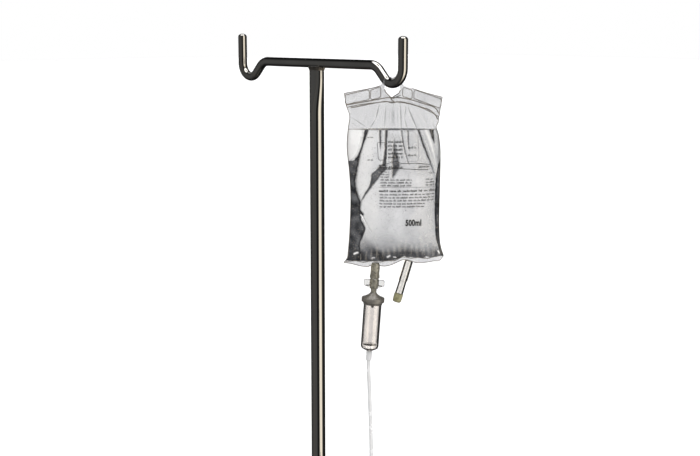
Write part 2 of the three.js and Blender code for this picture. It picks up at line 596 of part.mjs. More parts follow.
const TIE_HALF = [HANK_BEND + TUBING_RADIUS + 0.5, (HANK_TURNS * HANK_PITCH) / 2 + TUBING_RADIUS + 1.4];
const tieRing = (grow) => {
  const corner = 2;
  const [halfX, halfY] = [TIE_HALF[0] + grow, TIE_HALF[1] + grow];
  return [[1, 1], [-1, 1], [-1, -1], [1, -1]].flatMap(([sx, sy]) => [
    sx === sy ? [sx * halfX, sy * (halfY - corner)] : [sx * (halfX - corner), sy * halfY],
    sx === sy ? [sx * (halfX - corner), sy * halfY] : [sx * halfX, sy * (halfY - corner)],
  ]);
};
const TIE_HEIGHT = HANK_TOP - HANK_RUN / 2;
const tieBand = plate(tieRing(1.2), 10, [tieRing(0)]).rotateX(Math.PI / 2);
add('hank_tie', tieBand.translate(HANK_X, 1.2, TIE_HEIGHT), CLAMP_WHITE, bag);

// Roller clamp: an open channel with a slotted cheek on each side of the line.
const CLAMP_X = -23.5;
const CLAMP_TOP = -552;
const CLAMP_LENGTH = 60;
const ROLLER_RADIUS = 5.5;
const ROLLER_Y = -(TUBING_RADIUS + GAP + ROLLER_RADIUS);
const cheekSlot = (() => {
  const outline = [];
  for (let i = 0; i <= 16; i += 1) {
    const angle = (Math.PI * i) / 8;
    const reach = Math.sin(angle) >= 0 ? 21 : -21;
    outline.push([1.7 * Math.cos(angle) + ROLLER_Y, reach + 1.7 * Math.sin(angle)]);
  }
  return outline;
})();
const slotCutter = plate(cheekSlot, 30).rotateZ(Math.PI / 2);
const channel = carve(
  [block([-7, -13, -CLAMP_LENGTH / 2], [7, 5.2, CLAMP_LENGTH / 2])],
  [block([-4.6, -20, -40], [4.6, TUBING_RADIUS + GAP, 40]), slotCutter],
);
const clamp = new THREE.Group();
clamp.position.set(CLAMP_X, 0, CLAMP_TOP - CLAMP_LENGTH / 2);
bag.add(clamp);
add('roller_clamp', channel, CLAMP_WHITE, clamp);
const rollerWheel = rod(ROLLER_RADIUS, -4.2, 4.2, 16);
const rollerPin = rod(1.4, -6.6, 6.6, 8);
add('clamp_roller', carve([rollerWheel, rollerPin]).rotateY(Math.PI / 2).translate(0, ROLLER_Y, 19), CLAMP_BLUE, clamp);

// Luer connector on the tail, with its cap.
const tail = new THREE.Group();
const [tailX, tailY, tailZ] = hankPoints.at(-1);
tail.position.set(tailX, tailY, tailZ);
bag.add(tail);
add('luer_connector', turned([
  [0, -GAP], [3.2, -GAP], [3.4, -8], [4.6, -9], [4.6, -18], [2.2, -18], [2, -26], [0, -26],
], 14), CLEAR, tail);
add('luer_cap', turned([
  [2.2 + GAP + 0.1, -18 - GAP], [3.6, -18 - GAP], [3.4, -31], [0, -31], [0, -29], [2.2 + GAP + 0.1, -29],
].reverse(), 14), CLAMP_WHITE, tail);

export default stand;
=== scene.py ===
"""Looks for the infusion stand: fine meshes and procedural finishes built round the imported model."""
import json
import math

import bpy
import numpy as np
from mathutils import Matrix, Vector, noise
from mathutils.geometry import delaunay_2d_cdt

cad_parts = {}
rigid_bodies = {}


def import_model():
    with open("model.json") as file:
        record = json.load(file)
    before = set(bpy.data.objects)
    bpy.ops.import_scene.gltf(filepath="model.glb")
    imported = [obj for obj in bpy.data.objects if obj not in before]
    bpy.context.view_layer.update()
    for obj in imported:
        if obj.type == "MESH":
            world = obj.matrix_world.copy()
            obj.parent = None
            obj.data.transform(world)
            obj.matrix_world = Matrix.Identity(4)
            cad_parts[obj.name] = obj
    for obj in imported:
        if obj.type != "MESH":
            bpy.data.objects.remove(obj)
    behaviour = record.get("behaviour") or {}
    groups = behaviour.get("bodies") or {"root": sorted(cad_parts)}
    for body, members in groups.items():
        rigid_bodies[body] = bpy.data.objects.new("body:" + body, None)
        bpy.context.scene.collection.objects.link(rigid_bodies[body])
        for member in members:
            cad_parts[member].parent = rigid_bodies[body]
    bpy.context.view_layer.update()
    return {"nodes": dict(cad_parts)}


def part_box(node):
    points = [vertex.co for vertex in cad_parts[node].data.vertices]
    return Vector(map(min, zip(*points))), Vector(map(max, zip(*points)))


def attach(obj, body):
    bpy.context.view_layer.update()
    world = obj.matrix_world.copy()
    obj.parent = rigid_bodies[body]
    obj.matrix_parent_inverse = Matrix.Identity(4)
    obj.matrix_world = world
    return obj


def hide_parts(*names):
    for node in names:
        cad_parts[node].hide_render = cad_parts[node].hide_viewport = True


for leftover in list(bpy.data.objects):
    bpy.data.objects.remove(leftover)
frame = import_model()

MM = 0.001  # pieces are drawn in millimetres, in the BAG, LINE, SIDE_PORT, CLAMP and STAND frames
UP = Vector((0, 0, 1))
scene = bpy.context.scene

# ------------------------------------------------------------------ places, from the frame

bar_low, bar_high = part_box("crossbar")
ROD = (bar_high.y - bar_low.y) / 2
HOOK_RADIUS = 18.3 * MM
BAR_STRAIGHT = 103 * MM
SHOULDER_RADIUS = 22 * MM
SHOULDER_ANGLE = math.radians(45)
SLOPE = 13.4 * MM
HOOK_TIP = 35.3 * MM
FREE_TIP_EXTRA = 1.9 * MM
BAR_Z = bar_high.z - FREE_TIP_EXTRA - HOOK_TIP
MAST_RADIUS = 9.5 * MM
BAG_TURN = math.radians(48)
ACROSS = Vector((math.cos(BAG_TURN), math.sin(BAG_TURN), 0))
AWAY = Vector((-math.sin(BAG_TURN), math.cos(BAG_TURN), 0))


def hook_line():
    """Centreline of half the crossbar as (distance from the mast axis, height), and the hook's low point."""
    points = [(BAR_STRAIGHT * k / 12, 0) for k in range(1, 13)]

    def arc(cx, cz, radius, start, end, steps):
        for k in range(1, steps + 1):
            angle = start + (end - start) * k / steps
            points.append((cx + radius * math.cos(angle), cz + radius * math.sin(angle)))

    quarter = math.pi / 2
    arc(BAR_STRAIGHT, -SHOULDER_RADIUS, SHOULDER_RADIUS, quarter, quarter - SHOULDER_ANGLE, 12)
    x, z = points[-1]
    for k in (0.33, 0.66, 1):
        points.append((x + k * SLOPE * math.cos(SHOULDER_ANGLE), z - k * SLOPE * math.sin(SHOULDER_ANGLE)))
    x, z = points[-1]
    cx = x + HOOK_RADIUS * math.sin(SHOULDER_ANGLE)
    cz = z + HOOK_RADIUS * math.cos(SHOULDER_ANGLE)
    arc(cx, cz, HOOK_RADIUS, -quarter - SHOULDER_ANGLE, 0, 30)
    for k in range(1, 6):
        points.append((cx + HOOK_RADIUS, cz + (HOOK_TIP - ROD - cz) * k / 5))
    return points, (cx, cz - HOOK_RADIUS)


HALF_BAR, (HOOK_X, HOOK_DROP) = hook_line()
HOOK = Vector((HOOK_X, 0, BAR_Z + HOOK_DROP))
PORT_START, PORT_LEAN = (-19.4, 0, -225), math.radians(3.9)
SIDE_PORT_START, SIDE_PORT_LEAN = (21.7, 0, -221), math.radians(16.3)
BAG = Matrix.Translation(HOOK) @ Matrix.Rotation(BAG_TURN, 4, "Z") @ Matrix.Scale(MM, 4)
LINE = BAG @ Matrix.Translation(PORT_START) @ Matrix.Rotation(PORT_LEAN, 4, "Y")
SIDE_PORT = BAG @ Matrix.Translation(SIDE_PORT_START) @ Matrix.Rotation(SIDE_PORT_LEAN, 4, "Y")

# ------------------------------------------------------------------ camera

CAMERA_DISTANCE = 1.5196
CAMERA_SIDE = 0.0432
CAMERA_OVER_BAR = 0.0432
CAMERA_PITCH = math.radians(9.72)
LENS = 59.66
camera = bpy.data.objects.new("camera", bpy.data.cameras.new("camera"))
scene.collection.objects.link(camera)
camera.location = ACROSS * CAMERA_SIDE - AWAY * CAMERA_DISTANCE + UP * (BAR_Z + CAMERA_OVER_BAR)
gaze = AWAY * math.cos(CAMERA_PITCH) - UP * math.sin(CAMERA_PITCH)
camera.rotation_mode = "QUATERNION"
camera.rotation_quaternion = gaze.to_track_quat("-Z", "Y")
camera.data.sensor_width = 36
camera.data.lens = LENS
camera.data.clip_end = 200
scene.camera = camera

# ------------------------------------------------------------------ materials


def set_stops(ramp, stops):
    """Gives a colour ramp node its (position, colour) stops."""
    elements = ramp.color_ramp.elements
    while len(elements) < len(stops):
        elements.new(0.5)
    for element, (position, colour) in zip(elements, stops):
        element.position = position
        element.color = (*colour, 1)


class Finish:
    """A Principled material with helpers for procedural colour, roughness and bump."""

    def __init__(self, name, colour, roughness, **sockets):
        self.material = bpy.data.materials.new(name)
        self.material.use_nodes = True
        self.tree = self.material.node_tree
        self.shader = self.tree.nodes["Principled BSDF"]
        self.shader.inputs["Base Color"].default_value = (*colour, 1)
        self.shader.inputs["Roughness"].default_value = roughness
        for socket, value in sockets.items():
            self.shader.inputs[socket.replace("_", " ")].default_value = value

    def node(self, kind, **settings):
        made = self.tree.nodes.new("ShaderNode" + kind)
        for key, value in settings.items():
            if hasattr(made, key):
                setattr(made, key, value)
            else:
                made.inputs[key.replace("_", " ")].default_value = value
        return made

    def link(self, source, target):
        self.tree.links.new(source, target)

    def texture(self, scale, stretch=(1, 1, 1), detail=4.0, distortion=0.0):
        """Noise value in the object's own space, metres times scale."""
        place = self.node("TexCoord")
        mapping = self.node("Mapping")
        mapping.inputs["Scale"].default_value = stretch
        grain = self.node("TexNoise", Scale=scale, Detail=detail, Distortion=distortion)
        self.link(place.outputs["Object"], mapping.inputs["Vector"])
        self.link(mapping.outputs["Vector"], grain.inputs["Vector"])
        return grain.outputs["Fac"]

    def ramp(self, value, *stops):
        ramp = self.node("ValToRGB")
        set_stops(ramp, stops)
        self.link(value, ramp.inputs["Fac"])
        return ramp.outputs["Color"]

    def spread(self, value, low, high, socket):
        """Drives a number socket from a 0..1 value."""
        spread = self.node("MapRange", From_Min=0.3, From_Max=0.7, To_Min=low, To_Max=high)
        self.link(value, spread.inputs["Value"])
        self.link(spread.outputs["Result"], self.shader.inputs[socket])

    def bump(self, value, strength, distance):
        bump = self.node("Bump", Strength=strength, Distance=distance)
        self.link(value, bump.inputs["Height"])
        self.link(bump.outputs["Normal"], self.shader.inputs["Normal"])


def grained(name, dark, light, roughness, scale=60, stretch=(1, 1, 1), bump=0.1, depth=0.0002, **sockets):
    """A finish whose colour, gloss and surface all vary with one grain."""
    finish = Finish(name, light, roughness, **sockets)
    cloud = finish.texture(scale, stretch)
    finish.link(finish.ramp(cloud, (0.35, dark), (0.65, light)), finish.shader.inputs["Base Color"])
    finish.spread(cloud, roughness * 0.75, roughness * 1.3, "Roughness")
    finish.bump(finish.texture(scale * 9, stretch), bump, depth)
    return finish.material


CHROME = grained(
    "polished_tube", (0.22, 0.217, 0.212), (0.28, 0.277, 0.27), 0.065, 14, (1, 1, 0.25), 0.02, Metallic=1,
)
STEEL = grained("plain_steel", (0.30, 0.30, 0.29), (0.46, 0.46, 0.45), 0.34, 40, bump=0.12, Metallic=1)
WELD = grained("weld_bead", (0.08, 0.075, 0.07), (0.20, 0.18, 0.16), 0.34, 160, bump=0.3, Metallic=1)
CASTING = grained("cast_hub", (0.10, 0.105, 0.11), (0.16, 0.165, 0.17), 0.42, 90, bump=0.3)
DARK = grained(
    "dark_plastic", (0.022, 0.023, 0.025), (0.042, 0.043, 0.046), 0.42, 120, bump=0.25, depth=0.0001,
)
TYRE = grained("tyre", (0.10, 0.105, 0.11), (0.17, 0.175, 0.18), 0.66, 70, bump=0.3)
NYLON = grained("nylon", (0.62, 0.61, 0.55), (0.74, 0.73, 0.68), 0.45, 50, bump=0.1)
BRASS = grained("brass_insert", (0.42, 0.30, 0.12), (0.62, 0.47, 0.22), 0.3, 60, bump=0.1, Metallic=1)
WHITE = grained("white_plastic", (0.66, 0.66, 0.64), (0.78, 0.78, 0.77), 0.35, 45, bump=0.08, depth=0.0001)
BLUE = grained("blue_plastic", (0.10, 0.20, 0.30), (0.16, 0.30, 0.42), 0.38, 60, bump=0.12, depth=0.0001)
PLUG = grained("port_plug", (0.135, 0.125, 0.06), (0.235, 0.22, 0.12), 0.45, 300, bump=0.2, depth=0.0001)
CAP = grained(
    "cap_plastic", (0.066, 0.06, 0.051), (0.125, 0.115, 0.098), 0.3, 120, bump=0.06, depth=0.0001,
    Transmission_Weight=0.12,
)
SPIKE = grained(
    "spike_plastic", (0.11, 0.102, 0.078), (0.24, 0.225, 0.18), 0.22, 240, bump=0.1, depth=0.0001,
    Transmission_Weight=0.45,
)
PORT = grained(
    "port_plastic", (0.14, 0.132, 0.10), (0.30, 0.28, 0.22), 0.2, 260, bump=0.12, depth=0.0001,
    Transmission_Weight=0.55,
)


def clear(name, tint, roughness=0.03, ior=1.49, scale=80, brown=0):
    """Clear plastic or fluid, with brown as how strongly its thick parts darken, per metre."""
    finish = Finish(name, tint, roughness, Transmission_Weight=1.0, IOR=ior)
    if brown:
        depth = finish.node("VolumeAbsorption", Color=(0.55, 0.46, 0.40, 1), Density=brown)
        finish.link(depth.outputs["Volume"], finish.tree.nodes["Material Output"].inputs["Volume"])
    cloud = finish.texture(scale)
    faint = tuple(0.93 * part for part in tint)
    finish.link(finish.ramp(cloud, (0.35, faint), (0.65, tint)), finish.shader.inputs["Base Color"])
    finish.spread(cloud, roughness * 0.5, roughness * 1.6, "Roughness")
    return finish.material


CHAMBER = clear("chamber_plastic", (0.95, 0.93, 0.915), 0.02, brown=52)
CLEAR_PORT = clear("clear_port", (0.93, 0.92, 0.905), 0.05, brown=30)
TUBING = grained(
    "tubing", (0.58, 0.58, 0.58), (0.68, 0.68, 0.675), 0.25, 60, bump=0.02, depth=0.0001,
    Transmission_Weight=0.2,
)
LIQUID = clear("liquid", (0.95, 0.955, 0.965), 0.01, 1.33, 20)


def film(name, grey):
    """Glossy, finely uneven film, whose colour and opacity are linked afterwards."""
    finish = Finish(name, grey, 0.22)
    finish.bump(finish.texture(420, detail=3), 0.25, 0.0002)
    return finish


def hazy_film(name, alpha, grey):
    """Thin clear film: mostly see-through, with a faint cloudy haze."""
    finish = film(name, grey)
    cloud = finish.texture(55, detail=8)
    soft = tuple(0.86 * part for part in grey)
    finish.link(finish.ramp(cloud, (0.35, soft), (0.65, grey)), finish.shader.inputs["Base Color"])
    finish.spread(cloud, alpha * 0.85, alpha * 1.15, "Alpha")
    return finish.material


HEADER_FILM = hazy_film("header_film", 0.36, (0.21, 0.21, 0.213))
CREASE_LINE = grained("weld_line", (0.055, 0.048, 0.04), (0.16, 0.14, 0.115), 0.4, 160, Alpha=0.9)
PRINT = grained("print_ink", (0.004, 0.004, 0.005), (0.012, 0.012, 0.013), 0.7, 900)

# ------------------------------------------------------------------ mesh helpers


def piece(name, verts, faces, material, body, node=None, slot=None, sharp=38):
    """A finished mesh object that rides on a CAD body and stands for the CAD node it replaces, if any."""
    mesh = bpy.data.meshes.new(name)
    mesh.from_pydata([tuple(v) for v in verts], [], faces)
    mesh.validate()
    mesh.update()
    made = bpy.data.objects.new(name, mesh)
    scene.collection.objects.link(made)
    mesh.materials.append(material)
    mesh.polygons.foreach_set("use_smooth", [True] * len(mesh.polygons))
    mesh.set_sharp_from_angle(angle=math.radians(sharp))
    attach(made, body)
    if node:
        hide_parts(node)
    made.visible_glossy = body != "bag"  # so that the polished tubes mirror the room past the bag
    return made


def loft(rings, closed=False):
    """Vertices and faces of a skin through rings of equal length, open ends capped."""
    count = len(rings[0])
    verts = [Vector(p) for ring in rings for p in ring]
    faces = []
    bands = len(rings) if closed else len(rings) - 1
    for band in range(bands):
        low, high = band * count, ((band + 1) % len(rings)) * count
        for i in range(count):
            j = (i + 1) % count
            faces.append((low + i, low + j, high + j, high + i))
    if not closed:
        faces.append(tuple(range(count))[::-1])
        faces.append(tuple(range(len(verts) - count, len(verts))))
    return verts, faces


def sweep(points, radius, sides=32, dome=0.0):
    """Round bar along points. Its ends are flat, or a radius longer with a round part dome radii high."""
    stations = [(Vector(p), radius) for p in points]
    if dome:
        for end, (tip, before) in enumerate(((points[0], points[1]), (points[-1], points[-2]))):
            out = (Vector(tip) - Vector(before)).normalized()
            for k in range(9):
                angle = 0.98 * math.pi / 2 * k / 8
                reach = 1 - dome + dome * math.sin(angle)
                station = (Vector(tip) + out * radius * reach, radius * math.cos(angle))
                if end:
                    stations.append(station)
                else:
                    stations.insert(0, station)
    tangent = (stations[1][0] - stations[0][0]).normalized()
    side = Vector((0, 1, 0)) if abs(tangent.y) < 0.9 else Vector((1, 0, 0))
    normal = (side - tangent * side.dot(tangent)).normalized()
    rings = []
    for i, (point, size) in enumerate(stations):
        before, after = stations[max(i - 1, 0)][0], stations[min(i + 1, len(stations) - 1)][0]
        step = (after - before).normalized()
        normal = tangent.rotation_difference(step) @ normal
        tangent = step
        cross = step.cross(normal)
        turns = [2 * math.pi * k / sides for k in range(sides)]
        rings.append([point + size * (normal * math.cos(a) + cross * math.sin(a)) for a in turns])
    return loft(rings)


def eased(profile, size, closed):
    """Profile with every corner rounded by about `size`."""
    if size <= 0:
        return profile
    points = [Vector(p) for p in profile]
    result = []
    for i, corner in enumerate(points):
        if not closed and i in (0, len(points) - 1):
            result.append(corner)
            continue
        before, after = points[i - 1], points[(i + 1) % len(points)]
        cut = min(size, 0.45 * (before - corner).length, 0.45 * (after - corner).length)
        start = corner + (before - corner).normalized() * cut
        end = corner + (after - corner).normalized() * cut
        for k in range(4):
            t = k / 3
            result.append(start * (1 - t) ** 2 + corner * 2 * t * (1 - t) + end * t ** 2)
    return [tuple(p) for p in result]


def turned(profile, matrix, segments=64, ease=0.0):
    """Body of revolution about the matrix's Z axis from (radius, height) pairs in its units."""
    closed = not (profile[0][0] == 0 and profile[-1][0] == 0)
    profile = eased(profile, ease, closed)
    verts, rows = [], []
    for radius, height in profile:
        if radius < 1e-9:
            rows.append([len(verts)] * segments)
            verts.append(matrix @ Vector((0, 0, height)))
            continue
        rows.append(list(range(len(verts), len(verts) + segments)))
        for k in range(segments):
            angle = 2 * math.pi * k / segments
            verts.append(matrix @ Vector((radius * math.cos(angle), radius * math.sin(angle), height)))
    faces = []
    for a, b in zip(rows, rows[1:] + rows[:1] if closed else rows[1:]):
        for k in range(segments):
            j = (k + 1) % segments
            corners = list(dict.fromkeys((a[k], a[j], b[j], b[k])))
            if len(corners) > 2:
                faces.append(tuple(corners))
    volume = sum(
        verts[f[0]].dot(verts[f[i]].cross(verts[f[i + 1]])) for f in faces for i in range(1, len(f) - 1)
    )
    if volume < 0:  # the profile ran the other way, so the faces look inward
        faces = [f[::-1] for f in faces]
    return verts, faces


def smooth_at(table, x):
    """Value at x on a smooth curve through (x, value) pairs."""
    if x <= table[0][0]:
        return table[0][1]
    if x >= table[-1][0]:
        return table[-1][1]
    i = next(k for k, (key, _) in enumerate(table) if key > x)
    (x0, y0), (x1, y1) = table[i - 1], table[i]

    def slope(k):
        low, high = table[max(k - 1, 0)], table[min(k + 1, len(table) - 1)]
        return (high[1] - low[1]) / (high[0] - low[0])

    span = x1 - x0
    t = (x - x0) / span
    m0, m1 = slope(i - 1) * span, slope(i) * span
    return (
        (2 * t**3 - 3 * t**2 + 1) * y0 + (t**3 - 2 * t**2 + t) * m0
        + (3 * t**2 - 2 * t**3) * y1 + (t**3 - t**2) * m1
    )


def smooth_grid(table, x):
    """smooth_at for every place of a grid."""
    return np.array([[smooth_at(table, value) for value in row] for row in x])


def rounded_corners(centres, radius, steps):
    """Points of an outline round four corner centres, given from the upper right one on, leftward."""
    points = []
    for quarter, (cx, cz) in enumerate(centres):
        for k in range(steps + 1):
            angle = math.radians(90 * quarter + 90 * k / steps)
            points.append((cx + radius * math.cos(angle), cz + radius * math.sin(angle)))
    return points


def joined(parts):
    """Vertices and faces of several meshes as one."""
    verts, faces = [], []
    for part_verts, part_faces in parts:
        offset = len(verts)
        verts += part_verts
        faces += [tuple(i + offset for i in face) for face in part_faces]
    return verts, faces


# ------------------------------------------------------------------ tubing, as one free line

TUBING_RADIUS = 2.3
DROP = [
    (-26.9, 0, -335.6), (-27.5, 0, -343), (-27.9, 0, -350), (-27.8, 0, -358), (-27.3, 0, -368),
    (-26.8, 0, -380), (-26.2, 0, -395), (-25.7, 0, -410), (-25.1, 0, -425), (-24.6, 0, -440),
    (-24.1, 0, -460), (-23.8, 0, -485), (-23.6, 0, -515), (-23.5, 0, -545), (-23.5, 0, -580),
    (-23.5, 0, -615), (-23.3, -0.6, -630), (-22, -2.4, -645), (-18.5, -5.4, -660),
    (-13.5, -8.4, -675), (-9.4, -10, -690),
]
HANK_X = -23.5
HANK_TOP = -705
HANK_RUN = 88
HANK_BEND = 15.5
HANK_TURNS = 4
HANK_PITCH = 5.1
TAIL = 42


def hank_line():
    """The spare line's folded turns, one beside the next, and the tail that leaves them downward."""
    points = []
    turn = 2 * HANK_RUN + 2 * math.pi * HANK_BEND
    start = -HANK_TURNS * HANK_PITCH / 2
    low = HANK_TOP - HANK_RUN

    def put(x, z, length):
        points.append((HANK_X + x, start + HANK_PITCH * length / turn, z))

    def bend(centre, first, length):
        for k in range(1, 10):
            angle = math.pi * k / 10
            x, z = HANK_BEND * math.cos(first - angle), centre + HANK_BEND * math.sin(first - angle)
            put(x, z, length + HANK_BEND * angle)

    for k in range(HANK_TURNS):
        for side, first, last in ((1, HANK_TOP, low), (-1, low, HANK_TOP)):
            length = k * turn + (turn / 2 if side < 0 else 0)
            for share in (0, 0.5, 1):
                put(side * HANK_BEND, first + share * (last - first), length + share * HANK_RUN)
            bend(last, 0 if side > 0 else math.pi, length + HANK_RUN)
    coiled = HANK_TURNS * turn
    put(HANK_BEND, HANK_TOP, coiled)
    put(HANK_BEND, low, coiled + HANK_RUN)
    put(HANK_BEND, low - HANK_BEND - TAIL, coiled + HANK_RUN)
    return points


line_points = [BAG @ Vector(p) for p in DROP + hank_line()]
tubing_curve = bpy.data.curves.new("iv_tubing", "CURVE")
tubing_curve.dimensions = "3D"
spline = tubing_curve.splines.new("POLY")
spline.points.add(len(line_points) - 1)
for spot, point in zip(spline.points, line_points):
    spot.co = (*point, 1)
spline.use_smooth = True
tubing_curve.bevel_depth = TUBING_RADIUS * MM
tubing_curve.bevel_resolution = 5
tubing_curve.use_fill_caps = True
tubing_curve.materials.append(TUBING)
tubing = bpy.data.objects.new("iv_tubing", tubing_curve)
scene.collection.objects.link(tubing)
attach(tubing, "bag")
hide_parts("tubing_drop", "tubing_hank")
TAIL_PIECE = Matrix.Translation(line_points[-1]) @ Matrix.Rotation(BAG_TURN, 4, "Z") @ Matrix.Scale(MM, 4)
piece("connector_body", *turned([
    (0, -0.3), (3.2, -0.3), (3.4, -8), (4.6, -9), (4.6, -11), (4.2, -11.4), (4.2, -12.4), (4.6, -12.8),
    (4.6, -14.6), (4.2, -15), (4.2, -16), (4.6, -16.4), (4.6, -18), (2.2, -18), (2, -26), (0, -26),
], TAIL_PIECE, 48, 0.3), CLEAR_PORT, "bag", "luer_connector", "clear_plastic")
piece("connector_cap", *turned([
    (2.6, -18.3), (3.6, -18.3), (3.7, -20), (3.4, -30), (2.9, -31), (0, -31), (0, -29), (2.6, -29),
], TAIL_PIECE, 48, 0.4), WHITE, "cap", "luer_cap", "white_plastic")

# ------------------------------------------------------------------ crossbar and mast

bar_points = [Vector((-x, 0, BAR_Z + z)) for x, z in reversed(HALF_BAR)]
bar_points[0].z += FREE_TIP_EXTRA
bar_points += [Vector((0, 0, BAR_Z))] + [Vector((x, 0, BAR_Z + z)) for x, z in HALF_BAR]
piece("hook_bar", *sweep(bar_points, ROD, 48, dome=0.68), CHROME, "mast", "crossbar", "polished_tube")

HALF_FLAT = math.pi / 2 * (MAST_RADIUS - ROD)  # pressing keeps the tube's length of wall


def pressed_ring(press, inset, height):
    """Section of the mast tube, from round to a flat-sided slot shape as thick as the crossbar."""
    half = MAST_RADIUS - inset + press * (ROD - MAST_RADIUS)
    flat = press * HALF_FLAT
    ring = []
    for k in range(64):
        angle = 2 * math.pi * (k + 0.5) / 64
        shift = math.copysign(flat, math.cos(angle))
        ring.append((half * math.cos(angle) + shift, half * math.sin(angle), height))
    return ring


MAST_TOP = BAR_Z - 3.2 * MM
MAST_WALL = 1.2 * MM
PRESS_START = MAST_TOP - 62 * MM
PRESS_RISE = 46 * MM
stations = [(0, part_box("inner_tube")[0].z), (0, PRESS_START)]
for k in range(1, 17):
    share = k / 16
    stations.append((share * share * (3 - 2 * share), PRESS_START + share * PRESS_RISE))
stations.append((1, MAST_TOP))
rings = [pressed_ring(press, 0, z) for press, z in stations]
rings += [pressed_ring(press, MAST_WALL, z) for press, z in reversed(stations)]
piece("mast_tube", *loft(rings, closed=True), CHROME, "mast", "inner_tube", "polished_tube")

WELD_SECTION = [(-1.5, 1.2), (2.5, 0.9), (1.7, -0.6), (0.9, -2), (0.35, -3.6), (-0.6, -4), (-1.5, -1)]
WELD_STEPS = 120
weld_rings = []
for k in range(WELD_STEPS):
    angle = 2 * math.pi * (k + 0.5) / WELD_STEPS
    out = Vector((math.cos(angle), math.sin(angle), 0))
    foot = Vector((math.copysign(HALF_FLAT, math.cos(angle)), 0, BAR_Z - 0.9 * ROD)) + out * ROD
    size = MM * (1 + 0.12 * math.sin(k * 2 * math.pi / 5))
    spread = 0.4 + 0.6 * abs(math.cos(angle))
    weld_rings.append([foot + size * (out * reach * spread + UP * rise) for reach, rise in WELD_SECTION])
piece("joint_weld", *loft(weld_rings, closed=True), WELD, "mast", "top_weld", "plain_steel")

# ------------------------------------------------------------------ bag: outline and depth

POUCH_LEFT = [
    (0, -55), (0.06, -51.5), (0.13, -53.2), (0.25, -54.8), (0.4, -52), (0.5, -50.6), (0.6, -50.2),
    (0.8, -51.6), (0.93, -53.6), (0.965, -54.6), (1, -59),
]
POUCH_RIGHT = [
    (0, 57), (0.05, 56), (0.08, 53.8), (0.12, 56.6), (0.2, 58.8), (0.3, 59.4), (0.7, 58.7), (0.85, 59.8),
    (0.94, 62.6), (0.97, 64), (1, 65),
]
POUCH_SEAM = [
    (-59, -221.7), (-48, -223.5), (-36, -226), (-29, -227), (-23, -224.5), (-14, -225.6), (-8, -226),
    (0, -224.6), (8, -221.2), (15, -218.2), (22, -219), (32, -222), (42, -221.6), (53, -219.4), (60, -219),
    (65, -213.5),
]
FLUID_FOOT = [(-60, -218.8), (-20, -219.6), (4, -218), (14, -214.4), (40, -215.2), (62, -213)]
FLUID_LEVEL = -55.5
HALF_DEPTH = 21.6
SHEET = 0.6

# A fold is a band of film between two smooth edges, pulled in and with painted shade in its colour:
# (darkness of the painted shade, softness of its edge, how far it is pulled in, left edge, right edge),
# where an edge is a list of (depth below the hook, x) in mm.
FOLDS = {
    "left side": (1.0, 1.3, 1.6,
                  [(50, -33), (72, -37), (84, -41), (91, -45.5), (94, -50), (96, -75), (220, -75)],
                  [(50, -27), (59, -29), (72, -33.5), (86, -38), (101, -41), (115, -43.5), (122, -44),
                   (130, -42.5), (138, -40), (144, -37.5), (153, -38), (159, -34), (164, -37.5), (176, -32),
                   (188, -35), (196, -38), (204, -38), (220, -34)]),
    "slanting": (0.93, 1.2, 1.8,
                 [(97, -15), (104, -20), (108, -25), (115, -26), (124, -28.5), (133, -34), (145, -39.5)],
                 [(97, -6), (104, -8), (109, -13), (115, -17), (124, -24), (133, -30.5), (145, -38.5)]),
    "pleat 1": (0.9, 0.6, 1.6, [(50, -16.5), (75, -15.5), (81, -14.5)],
                [(50, -13), (75, -13.5), (81, -14.5)]),
    "pleat 2": (0.95, 0.7, 1.6, [(50, -8.5), (80, -10), (99, -12.5)], [(50, -5), (80, -6.5), (99, -7.5)]),
    "pleat 3": (0.9, 2.0, 1.4, [(66, 1.5), (79, 0.5), (93, -1), (101, -0.5), (113, -1)],
                [(66, 2.5), (79, 5), (93, 8.5), (101, 9), (113, 1.5)]),
    "pleat 4": (0.85, 0.7, 0.9, [(50, 9.5), (75, 13), (97, 19.5)], [(50, 11.5), (75, 15), (97, 20.5)]),
    "pleat 5": (0.85, 0.6, 0.9, [(50, 17.5), (70, 18.5), (81, 20)], [(50, 20), (70, 20.5), (81, 20.5)]),
    "right": (0.95, 0.7, 2.2, [(50, 28.5), (70, 35.5), (90, 43.5), (110, 52)],
              [(50, 31.5), (70, 38), (90, 45.5), (110, 52.5)]),
    "corner": (1.0, 0.7, 1.4, [(50, 44), (60, 46), (66, 48.5), (73, 51.5)],
               [(50, 50.5), (60, 51), (66, 51.5), (73, 52)]),
    "right side": (1.0, 0.7, 0.0, [(92, 59), (97, 57), (106, 54.5), (124, 53), (150, 52.5), (175, 53.5),
                                   (190, 55), (205, 59), (217, 64)], [(92, 75), (217, 75)]),
}
# Bands with a painted highlight in the film's colour, in the same form, with its brightness in place of
# darkness.
GLEAMS = {
    "tongue": (0.72, 1.6, -0.6, [(54, -70), (95, -70)],
               [(54, -35), (72, -39), (84, -43), (91, -48), (95, -53)]),
    "right pocket": (0.6, 4.0, -0.8, [(50, 36), (70, 43), (90, 50), (112, 56)],
                     [(50, 41), (70, 50), (90, 54), (112, 58)]),
    "left of slant": (0.35, 5.0, 0, [(60, -30), (95, -36), (120, -41), (136, -38)],
                      [(60, -24), (95, -24), (108, -28), (120, -30), (136, -35)]),
    "lower left": (0.35, 8.0, 0, [(146, -32), (160, -29), (176, -26), (190, -29)],
                   [(146, -20), (160, -14), (176, -14), (190, -20)]),
}
